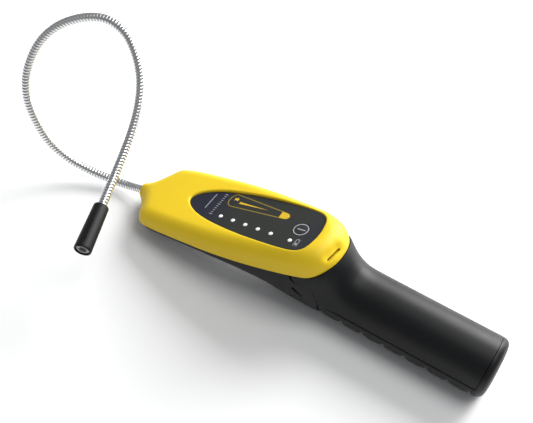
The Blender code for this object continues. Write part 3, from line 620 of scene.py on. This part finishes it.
key_spot = Matrix.Translation((*KEY_PLACE, 0.0))
key = make_piece("power_key_cap", lathe(KEY_PROFILE, 64, key_spot), film_finish, HEAD_PLACE)
ring_mark = lathe(((RING_INNER, 0), (RING_OUTER, 0), (RING_OUTER, INK_HEIGHT),
                   (RING_INNER, INK_HEIGHT), (RING_INNER, 0)), 64, key_spot)
key_bar = bar_mark(KEY_PLACE[0] + 0.3, KEY_PLACE[1], 6.0, 0.75)
key_print = make_piece("power_key_print", joined([ring_mark, key_bar]), pale_ink, HEAD_PLACE)
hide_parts("power_key")
for item in (key, key_print):
    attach(item, "power_key")

# ---------------------------------------------------------------- lamps
# Six light guides of milky acrylic stand on the board's lamps and end in small domes that come
# just through the film.
LAMP_PROFILE = ((0, -9.2), (1.9, -9.2), (1.9, -4.5), (LAMP_RADIUS, -4.5), (LAMP_RADIUS, -0.05),
                (1.38, 0.14), (1.05, 0.27), (0.55, 0.33), (0, 0.35))

# Milky moulded acrylic: white even when unlit, smooth, with a small sharp highlight.
milky_acrylic = make_finish("moulded_milky_acrylic", "#F4F4FA", 0.25, ior=1.49)
for number, place in enumerate(LAMP_PLACES, 1):
    lamp = make_piece(f"lamp_{number}", lathe(LAMP_PROFILE, 32, Matrix.Translation((*place, 0.0))),
                      milky_acrylic, HEAD_PLACE)
    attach(lamp, "casing")
    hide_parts(f"led_{number}")

# ---------------------------------------------------------------- lower housing
# The black ABS tub under the cover.  Its sides start just inside the cover's rim, run back and
# down to the belly, and end against the handle in a stepped seam.
HULL_WALL = 2.2
SEAM_GAP = 0.3
HULL = (
    (-45.2, 11.2, 2.2), (-44.9, 12.0, 2.2), (-44.4, 12.8, 2.3), (-43.6, 14.6, 2.3),
    (-42.2, 16.4, 2.4), (-40.0, 18.4, 2.5), (-37.0, 19.7, 2.6), (-34.0, 20.7, 2.6),
    (-31.0, 21.1, 2.6), (-27.0, 21.3, 2.6), (-20.0, 21.5, 2.5), (-8.0, 21.8, 2.4),
    (10.0, 23.8, 2.3), (30.0, 28.8, 2.2), (50.0, 36.6, 2.1), (70.0, 47.6, 2.1),
    (80.0, 54.6, 2.2), (90.0, 59.1, 2.4), (102.0, 62.9, 2.6), (109.0, 65.1, 2.6),
    (121.0, 68.7, 2.6),
)
HULL_SIDE = (
    (-45.2, 3.6), (-44.9, 4.4), (-44.4, 5.2), (-43.6, 6.3), (-42.2, 7.4), (-40.0, 9.8),
    (-37.0, 14.0), (-34.0, 19.1), (-31.0, 23.9), (-27.0, 27.2), (-20.0, 28.7), (-8.0, 29.9),
    (10.0, 30.8), (30.0, 31.1), (50.0, 30.2), (70.0, 28.3), (80.0, 27.2), (90.0, 26.0),
    (102.0, 25.2), (109.0, 24.0), (121.0, 21.6),
)
BORE_RADIUS = 17.3
BORE_START = -70.2
BORE_END = 56.4
HANDLE_AXIS = 21.0
DOOR_START = -55.6
SEAM_PATH = ((-79.0, 48.0), (-77.2, 41.6), (-75.6, 38.6), (-73.6, 37.5), (-61.6, 37.4),
             (-60.2, 36.6), (DOOR_START, 23.4), (DOOR_START, -10.0))
STEP_GAP = 0.9
SADDLE_START = -79.0
POSTS = ((-20.0, 18.0), (77.0, 16.8))
WELL_RADIUS = 3.1
WELL_ROOF = 6.4
PIT_PLACE = (-71.0, 26.0, 27.3)
PIT_TILT = math.radians(34)
LAST_RIM = 112.0

handle_turn = Matrix.Translation((0, 0, HANDLE_AXIS)) @ Matrix.Rotation(math.pi / 2, 4, "Y")


def bowl_loop(station, half, rim, depth, roundness):
    """Return a section of the tub: a flat rim with eased corners and a superellipse below it."""
    loop = [(station, half - 0.35, rim), (station, half - 0.1, rim - 0.1)]
    for step in range(49):
        angle = math.pi * (0.012 + 0.976 * step / 48)
        c, s = math.cos(angle), math.sin(angle)
        loop.append((station, math.copysign(half * abs(c) ** (2 / roundness), c),
                     rim - (depth + rim) * s ** (2 / roundness)))
    return loop + [(station, 0.1 - half, rim - 0.1), (station, 0.35 - half, rim)]


def side_prism(outline):
    """Return a wide prism across the handle from its (x, z) outline."""
    return extrude_through([[(x, y, z) for x, z in outline] for y in (-40.0, 40.0)])


def stations(low, high, spacing):
    """Return evenly spaced stations with both ends."""
    count = max(1, round((high - low) / spacing))
    return [low + (high - low) * step / count for step in range(count + 1)]


def hull_loops(low, high, wall=0.0, raised=0.0):
    """Return the tub's sections between two stations, pulled in by a wall thickness."""
    loops = []
    for u in stations(low, high, 2.2):
        rim = -read_table(COVER_DEPTH, min(u, LAST_RIM)) - SEAM_GAP + raised
        half = read_table(HULL_SIDE, u) - wall
        loops.append(bowl_loop(u, half, rim, read_table(HULL, u) - wall, read_table(HULL, u, 2)))
    return loops


def taken_back(item):
    """Turn a helper object back into a bmesh in millimetres, and remove the object."""
    bm = bmesh.new()
    bm.from_mesh(item.data)
    bmesh.ops.scale(bm, vec=(1 / MM,) * 3, verts=bm.verts)
    bpy.data.objects.remove(item)
    return bm


# Black ABS with an even satin erosion: nearly black, with wide soft highlights.
black_abs = make_finish("moulded_black_abs", "#0E0F11", 0.4, ior=1.36)
fine_grain(black_abs, 0.5, 0.02, 0.4, 0.5)

front = [bowl_loop(u, side, -COVER_DEPTH[0][1] - SEAM_GAP, depth, roundness)
         for (u, depth, roundness), (_, side) in zip(HULL[:3], HULL_SIDE[:3])]
housing = make_piece("lower_housing_moulding", extrude_through(front + hull_loops(-43.6, 121.0)),
                     black_abs, HEAD_PLACE)
hollow = make_piece("hollow", extrude_through(hull_loops(-34.0, 108.0, HULL_WALL, 5.0)),
                    None, HEAD_PLACE)
carve(hollow, box_shape((BORE_START - 3.2, -40, -10), (20, 40, 90)))
carve(housing, taken_back(hollow))
behind_seam = [(x - STEP_GAP, z - STEP_GAP) for x, z in SEAM_PATH]
carve(housing, side_prism(behind_seam + [(40, -10), (40, 90), (-79, 90)]))
carve(housing, plug(BORE_RADIUS, BORE_START, BORE_END, 72, handle_turn))
carve(housing, plug(NECK_HOLE_RADIUS, -60, -30, 40, neck_turn), HEAD_PLACE)
wells = []
for u, y in POSTS:
    for side in (1, -1):
        top = -read_table(COVER_DEPTH, u) - WELL_ROOF
        wells.append(plug(WELL_RADIUS, -70, top, 32, Matrix.Translation((u, side * y, 0))))
carve(housing, joined(wells), HEAD_PLACE)
pits = []
for side in (1, -1):
    pit_turn = Matrix.Translation((PIT_PLACE[0], side * PIT_PLACE[1], PIT_PLACE[2]))
    pit_turn = pit_turn @ Matrix.Rotation(PIT_TILT, 4, "Y")
    pits.append(box_shape((-4.6, -2.4, -1.2), (4.6, 2.4, 1.2), pit_turn, 0.7))
carve(housing, joined(pits))
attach(housing, "casing")
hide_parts("lower_housing")

# ---------------------------------------------------------------- handle shell
# The fixed upper half of the handle, black ABS.  At the head it rises to a saddle whose thin lip
# wraps the rear end of the cover; it ends in a raked face against the door's cap.
SADDLE = (
    (-79.0, 26.4, 58.0, 3.0), (-70.0, 26.5, 58.0, 3.0), (-66.0, 26.6, 58.5, 3.0),
    (-63.0, 26.2, 58.5, 3.0), (-60.0, 25.5, 57.5, 2.9), (-57.0, 23.9, 56.5, 2.9),
    (-54.5, 22.9, 55.2, 2.6), (-52.0, 22.2, 53.4, 2.4), (-48.5, 21.6, 50.4, 2.15),
    (-44.0, 21.2, 46.8, 2.0), (-39.0, 21.0, 44.0, 1.95), (-33.0, 21.0, 42.5, 1.98),
    (-26.0, 21.0, 42.0, 2.0), (20.0, 21.0, 42.0, 2.0), (62.0, 21.0, 42.0, 2.0),
)
SHELL_END_TOP = 57.8
SHELL_END_SIDE = 56.8
COVER_SEAT_GAP = 0.7
EDGE_CHAMFER = 0.9
EDGE_EASE = 0.2
EDGE_RISE = 0.45


def arch_loop(x, half, base, top, roundness):
    """Return a section of the shell: a flat base with chamfered corners under a superellipse."""
    loop = [(x, half - EDGE_CHAMFER, base), (x, half - EDGE_EASE, base + EDGE_RISE)]
    for step in range(65):
        angle = math.pi * (0.012 + 0.976 * step / 64)
        c, s = math.cos(angle), math.sin(angle)
        loop.append((x, math.copysign(half * abs(c) ** (2 / roundness), c),
                     base + (top - base) * s ** (2 / roundness)))
    return loop + [(x, EDGE_EASE - half, base + EDGE_RISE), (x, EDGE_CHAMFER - half, base)]


shell_base = HANDLE_AXIS + SEAM_GAP / 2
shell_stations = stations(SADDLE_START, -30.0, 1.2) + stations(-27.0, 62.0, 9.0)
shell_loops = [arch_loop(x, read_table(SADDLE, x), shell_base, read_table(SADDLE, x, 2),
                         read_table(SADDLE, x, 3)) for x in shell_stations]
shell = make_piece("handle_shell_moulding", extrude_through(shell_loops), black_abs)
seat_loop = grown_loop(cover_loop, COVER_SEAT_GAP)
seat_floor = [(*point, -read_table(COVER_DEPTH, point.x) - SEAM_GAP) for point in seat_loop]
carve(shell, extrude_through([seat_floor, [(*point, 14.0) for point in seat_loop]]), HEAD_PLACE)
carve(shell, side_prism(list(SEAM_PATH) + [(-90, -10), (-90, 48)]))
carve(shell, plug(BORE_RADIUS, BORE_START, 66, 72, handle_turn))
rake = math.atan2(SHELL_END_TOP - SHELL_END_SIDE, HANDLE_AXIS)
end_turn = Matrix.Translation((SHELL_END_SIDE, 0, HANDLE_AXIS)) @ Matrix.Rotation(rake, 4, "Y")
carve(shell, box_shape((0, -40, -30), (30, 40, 60), end_turn))
soften(shell, 50.0, 0.35, 2, lambda spot: spot.x < -48.0 and spot.z > 41.0)
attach(shell, "casing")
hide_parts("handle_shell")

# ---------------------------------------------------------------- battery door
# The lower half of the handle and its closed end are one black ABS moulding that slides back off
# the cells.  Eight ribs across its underside give the fingers a grip.
RIB_PITCH = 15.6
RIB_COUNT = 8
RIB_CREST = 21.6
RIB_NOTCH = 19.9
RIB_SHAPE = ((0.0, RIB_NOTCH), (0.8, 20.3), (1.7, 21.1), (3.0, 21.45), (4.6, RIB_CREST),
             (7.8, RIB_CREST), (11.0, RIB_CREST), (12.6, 21.45), (13.9, 21.1), (14.8, 20.3))
END_RADIUS = 21.05
RIBS_END = 56.5
RIB_FADE = (0.12, 0.5)
DOME_PROFILE = ((0, 50.0), (21.0, 50.0), (21.0, 58.2), (20.85, 59.2), (20.3, 60.6), (19.3, 61.8),
                (17.6, 62.7), (14.5, 63.3), (9.0, 63.75), (0, 63.9))

door_top = HANDLE_AXIS - SEAM_GAP / 2
rib_stations = [(DOOR_START, 21.0), (DOOR_START + 0.5, 21.2)]
for rib in range(RIB_COUNT):
    start = RIB_PITCH * (rib - (RIB_COUNT - 1) / 2)
    rib_stations += [(start + step, radius) for step, radius in RIB_SHAPE
                     if start + step < SHELL_END_TOP]
rib_stations = [(x, min(radius, END_RADIUS) if x > RIBS_END else radius)
                for x, radius in rib_stations]
rib_stations.append((SHELL_END_TOP, END_RADIUS))
door_loops = []
for x, radius in rib_stations:
    loop = [(x, HANDLE_AXIS - EDGE_CHAMFER, door_top),
            (x, HANDLE_AXIS - EDGE_EASE, door_top - EDGE_RISE)]
    for step in range(49):
        angle = math.pi * (0.012 + 0.976 * step / 48)
        deep = (math.sin(angle) - RIB_FADE[0]) / (RIB_FADE[1] - RIB_FADE[0])
        deep = min(1.0, max(0.0, deep))
        reach = HANDLE_AXIS + (radius - HANDLE_AXIS) * deep * deep * (3 - 2 * deep)
        loop.append((x, reach * math.cos(angle), max(0.0, door_top - reach * math.sin(angle))))
    door_loops.append(loop + [(x, EDGE_EASE - HANDLE_AXIS, door_top - EDGE_RISE),
                              (x, EDGE_CHAMFER - HANDLE_AXIS, door_top)])
door = make_piece("battery_door_moulding", extrude_through(door_loops), black_abs)
cap = make_piece("cap", lathe(DOME_PROFILE, 96, handle_turn), None)
face_turn = Matrix.Translation((SHELL_END_SIDE + SEAM_GAP + 0.1, 0, HANDLE_AXIS))
face_turn = face_turn @ Matrix.Rotation(rake, 4, "Y")
carve(cap, box_shape((-30, -40, -60), (0, 40, 60), face_turn))
carve(door, taken_back(cap), None, "UNION")
carve(door, plug(BORE_RADIUS, BORE_START, BORE_END, 72, handle_turn))
carve(door, plug(10.0, 52.0, 61.2, 40, handle_turn))
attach(door, "battery_door")
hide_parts("battery_door")

# ---------------------------------------------------------------- contacts and cells
# Two D cells lie nose to tail in the handle between a sprung contact in the door and a plate on
# the bulkhead; a steel strip brings the far end's contact back along the roof of the bore.

CELL_PITCH = 62.7
CELL_BAND = 42.0

# Printed steel cell jackets: two plain bands, dark and pale, under a clear lacquer.
cell_jacket = make_finish("lacquered_cell_jacket", "#23262B", 0.3)
tree = cell_jacket.node_tree
spot = add_node(tree, "ShaderNodeTexCoord").outputs["Object"]
parts = add_node(tree, "ShaderNodeSeparateXYZ", None, {"Vector": spot})
shifted = add_node(tree, "ShaderNodeMath", {"operation": "ADD", 1: -BORE_START * MM},
                   {0: parts.outputs["X"]})
along = add_node(tree, "ShaderNodeMath", {"operation": "MODULO", 1: CELL_PITCH * MM},
                 {0: shifted.outputs[0]})
band = add_node(tree, "ShaderNodeMath", {"operation": "GREATER_THAN", 1: CELL_BAND * MM},
                {0: along.outputs[0]})
shade = add_node(tree, "ShaderNodeMix",
                 {"data_type": "RGBA", MIX_FIRST: srgb("#23262B"), MIX_SECOND: srgb("#B9A36A")},
                 {0: band.outputs[0]})
tree.links.new(shade.outputs[MIX_RESULT], tree.nodes["Principled BSDF"].inputs["Base Color"])
# Drawn and nickel-plated steel strip and wire: bright, with a fine sheen along it.
nickel_steel = make_finish("nickel_plated_steel", "#C9C7C2", 0.24, 1.0)

# ---------------------------------------------------------------- board and wiring
# A green glass-epoxy board carries the key's switch, the sounder and a plug for the neck's
# lead.  PVC-covered wires join it to the cells' contacts.

# Solder-masked laminate: glossy green over a faint woven ground, 0.6 mm threads.
laminate = make_finish("solder_masked_laminate", "#1E6B3A", 0.3)
tree = laminate.node_tree
spot = add_node(tree, "ShaderNodeTexCoord").outputs["Object"]
weave = add_node(tree, "ShaderNodeTexChecker", {"Scale": 1 / (0.6 * MM), "Color1": srgb("#1E6B3A"),
                                                "Color2": srgb("#1A5F33")}, {"Vector": spot})
tree.links.new(weave.outputs["Color"], tree.nodes["Principled BSDF"].inputs["Base Color"])
# Moulded nylon of the switch, sounder, plug and bush: black, dull and slightly mottled.
moulded_nylon = make_finish("moulded_nylon", "#17181A", 0.55)
fine_grain(moulded_nylon, 0.4, 0.01, 0.5, 0.62)
# Extruded PVC insulation, soft red.
pvc_cover = make_finish("extruded_red_pvc", "#9E1B1B", 0.45)
fine_grain(pvc_cover, 0.8, 0.01, 0.4, 0.5)

# ---------------------------------------------------------------- screws
# Zinc-plated steel screws hold the cover, the handle shell and the board from inside their wells.
zinc_steel = make_finish("zinc_plated_steel", "#A9AAAC", 0.34, 1.0)
tree = zinc_steel.node_tree
spot = add_node(tree, "ShaderNodeTexCoord").outputs["Object"]
spangle = add_node(tree, "ShaderNodeTexNoise", {"Scale": 1 / (0.9 * MM)}, {"Vector": spot})
gloss = add_node(tree, "ShaderNodeMapRange", {"To Min": 0.26, "To Max": 0.44},
                 {"Value": spangle.outputs["Fac"]})
tree.links.new(gloss.outputs["Result"], tree.nodes["Principled BSDF"].inputs["Roughness"])

FINISH_OF_NODE = {
    "battery_front": cell_jacket, "battery_rear": cell_jacket, "contact_spring": nickel_steel,
    "front_contact": nickel_steel, "return_strip": nickel_steel, "circuit_board": laminate,
    "key_switch": moulded_nylon, "sounder": moulded_nylon, "sensor_connector": moulded_nylon,
    "neck_bush": moulded_nylon, "supply_lead": pvc_cover, "return_lead": pvc_cover,
    "sensor_lead": pvc_cover,
}
for name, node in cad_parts.items():
    if name in FINISH_OF_NODE or "screw" in name:
        node.data.materials.clear()
        node.data.materials.append(FINISH_OF_NODE.get(name, zinc_steel))

# ---------------------------------------------------------------- neck
# A self-supporting gooseneck of steel strip wound on a wire core and chromed.  It leaves the nose,
# loops up and over, and keeps the bend it is given.
NECK_ROUTE = (
    (-214.1, 0.0, 10.8), (-227.0, -0.3, 7.0), (-242.0, -2.7, 6.6), (-259.7, -7.3, 10.2),
    (-274.9, -12.4, 18.5), (-287.6, -16.3, 32.4), (-297.2, -16.9, 50.6), (-303.6, -14.2, 67.3),
    (-305.6, -7.5, 84.5), (-302.0, 3.0, 102.0), (-293.0, 13.5, 114.5), (-279.0, 23.5, 122.2),
    (-263.5, 30.2, 124.3), (-248.0, 30.4, 120.0), (-235.1, 24.6, 111.6), (-225.3, 16.0, 101.0),
    (-219.0, 4.8, 89.8), (-215.4, -7.0, 79.6), (-212.4, -20.5, 71.0), (-208.4, -38.0, 63.0),
    (-203.0, -57.7, 57.2),
)
SENSOR_TIP = Vector((-191.9, -91.7, 53.7))
NECK_JOINTS = 7
NECK_RADIUS = 3.1
COIL_GROOVE = 0.42
COIL_PITCH = 2.2
COIL_FLATNESS = 0.4
GROOVE_PAINTED_SHADE = 1.1
RINGS_PER_COIL = 10
RING_SIDES = 22
BEND_REACH = 14.0

# Chromed strip: a hard mirror on the coils, duller in the grooves between them, which are painted
# near black: painted shade for the crevices of the winding.
chrome = make_finish("chromed_steel_strip", "#F4F5F6", 0.16, 1.0)
tree = chrome.node_tree
groove = add_node(tree, "ShaderNodeAttribute", {"attribute_name": "groove_depth"})
# The groove depth mixes the chrome towards near black: painted shade in the grooves.
shade = add_node(tree, "ShaderNodeMix",
                 {"data_type": "RGBA", MIX_FIRST: srgb("#F4F5F6"), MIX_SECOND: srgb("#0A0A0B")},
                 {0: groove.outputs["Fac"]})
tree.links.new(shade.outputs[MIX_RESULT], tree.nodes["Principled BSDF"].inputs["Base Color"])
gloss = add_node(tree, "ShaderNodeMapRange", {"To Min": 0.13, "To Max": 0.6},
                 {"Value": groove.outputs["Fac"]})
tree.links.new(gloss.outputs["Result"], tree.nodes["Principled BSDF"].inputs["Roughness"])


def mark_grooves(item):
    """Store how far each point of the winding lies below the coils' crests."""
    values = []
    for vert in item.data.vertices:
        _, _, away = line_tree.find(vert.co / MM)
        values.append(min(1.0, GROOVE_PAINTED_SHADE * max(0.0, (NECK_RADIUS - away) / COIL_GROOVE)))
    item.data.attributes.new("groove_depth", "FLOAT", "POINT").data.foreach_set("value", values)


route = [Vector(point) for point in NECK_ROUTE]
route_length = sum((b - a).length for a, b in zip(route, route[1:]))
ring_count = RINGS_PER_COIL * round(route_length / COIL_PITCH) + 1
line = even_curve([2 * route[0] - route[1], *route, 2 * route[-1] - route[-2]], ring_count)
line_tree = KDTree(len(line))
for number, point in enumerate(line):
    line_tree.insert(point, number)
line_tree.balance()
across = Vector((0, 1, 0))
neck_rings = []
for number, centre in enumerate(line):
    ahead = (line[min(number + 1, ring_count - 1)] - line[max(number - 1, 0)]).normalized()
    across = (across - ahead * across.dot(ahead)).normalized()
    other = ahead.cross(across)
    ring = []
    for side in range(RING_SIDES):
        turn = math.tau * side / RING_SIDES
        phase = number / RINGS_PER_COIL - side / RING_SIDES
        swell = abs(math.sin(math.pi * phase)) ** COIL_FLATNESS
        radius = NECK_RADIUS - COIL_GROOVE * (1 - swell)
        ring.append(centre + (across * math.cos(turn) + other * math.sin(turn)) * radius)
    neck_rings.append(ring)

segment = (ring_count - 1) / NECK_JOINTS
cuts = [0] + [round(segment * (number + 0.5)) for number in range(NECK_JOINTS)] + [ring_count - 1]
neck_bodies = ["casing"] + [f"neck_{number}" for number in range(1, NECK_JOINTS + 1)]
bend_rings = round(BEND_REACH / COIL_PITCH * RINGS_PER_COIL)
for number, (first, last) in enumerate(zip(cuts, cuts[1:])):
    length = make_piece(f"neck_length_{number + 1}", extrude_through(neck_rings[first:last + 1]),
                        chrome)
    mark_grooves(length)
    if number < NECK_JOINTS:
        pivot = round(segment * number)
        start = line[max(pivot - bend_rings, 0)] * MM
        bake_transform(length)
        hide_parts(f"neck_segment_{number + 1}")
    else:
        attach(length, neck_bodies[-1])

# ---------------------------------------------------------------- sensor
# The gas sensor is a steel can plugged into a socket on the neck's end.  A matt black sleeve with
# fine slots round its lower half slides over both and leaves the can's ring and gauze in view.
SLEEVE_BORE = 4.8
SLEEVE_PROFILE = ((SLEEVE_BORE, 1.2), (4.95, 1.2), (5.1, 1.35), (5.2, 1.8), (5.22, 2.2),
                  (5.85, 33.8), (5.9, 34.8), (5.8, 35.6), (5.5, 36.0), (SLEEVE_BORE, 36.0),
                  (SLEEVE_BORE, 1.2))
SOCKET_PROFILE = ((0, 0.5), (3.6, 0.5), (3.8, 0.55), (4.4, 1.15), (4.45, 1.3), (4.45, 15.6),
                  (0, 15.6))
CAN_PROFILE = ((0, 16.2), (4.5, 16.2), (4.5, 34.9), (4.35, 35.2), (4.1, 35.3), (2.9, 35.3),
               (2.7, 35.2), (2.6, 35.0), (2.6, 34.2), (0, 34.2))
GAUZE_PROFILE = ((0, 34.4), (2.3, 34.4), (2.3, 34.9), (1.4, 35.05), (0, 35.1))
SLOT_ROWS = 4
SLOT_TURN = 0.98
SLOT_STARTS = (15.0, 19.4, 23.8, 28.2)
SLOT_SIZE = (0.6, 3.2)

neck_end = Vector(NECK_ROUTE[-1])
sensor_turn = (SENSOR_TIP - neck_end).to_track_quat("Z", "Y").to_matrix().to_4x4()
sensor_place = Matrix.Translation(neck_end) @ sensor_turn

# Matt black anodised aluminium: nearly black, with a soft highlight along it.
sleeve_finish = make_finish("matt_black_anodised_aluminium", "#101112", 0.5, 0.15, 1.4)
fine_grain(sleeve_finish, 0.4, 0.008, 0.45, 0.58)
# Turned stainless steel: grey and bright, with a slightly uneven sheen.
can_steel = make_finish("turned_stainless_steel", "#8E8E8C", 0.3, 1.0)
fine_grain(can_steel, 0.5, 0.006, 0.24, 0.38)
# Sintered steel gauze: dark grey grains of 0.5 mm, coarser than the real ones.
gauze_steel = make_finish("sintered_steel_gauze", "#3A3A3C", 0.6, 0.7)
tree = gauze_steel.node_tree
spot = add_node(tree, "ShaderNodeTexCoord").outputs["Object"]
mesh_pattern = add_node(tree, "ShaderNodeTexVoronoi", {"Scale": 1 / (0.5 * MM)}, {"Vector": spot})
bump = add_node(tree, "ShaderNodeBump", {"Strength": 1.0, "Distance": 0.1 * MM},
                {"Height": mesh_pattern.outputs["Distance"]})
tree.links.new(bump.outputs["Normal"], tree.nodes["Principled BSDF"].inputs["Normal"])

sleeve = make_piece("sensor_sleeve_turning", lathe(SLEEVE_PROFILE, 64), sleeve_finish,
                    sensor_place)
slots = []
for row in range(SLOT_ROWS):
    around = Matrix.Rotation(math.tau * (row + SLOT_TURN) / SLOT_ROWS, 4, "Z")
    slots += [box_shape((4.9, -SLOT_SIZE[0] / 2, low), (7.0, SLOT_SIZE[0] / 2, low + SLOT_SIZE[1]),
                        around) for low in SLOT_STARTS]
carve(sleeve, joined(slots), sensor_place)
socket = make_piece("sensor_socket_turning", lathe(SOCKET_PROFILE, 48), moulded_nylon, sensor_place)
can = make_piece("gas_sensor_can", lathe(CAN_PROFILE, 64), can_steel, sensor_place)
gauze = make_piece("sensor_gauze_disc", lathe(GAUZE_PROFILE, 40), gauze_steel, sensor_place)
for item, body, node, slot_name in ((sleeve, "sensor_sleeve", "sensor_sleeve", "black_abs"),
                                    (socket, "neck_7", "sensor_socket", "dark_plastic"),
                                    (can, "gas_sensor", "gas_sensor", "sensor_steel"),
                                    (gauze, "gas_sensor", "sensor_gauze", "dark_plastic")):
    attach(item, body)
    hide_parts(node)
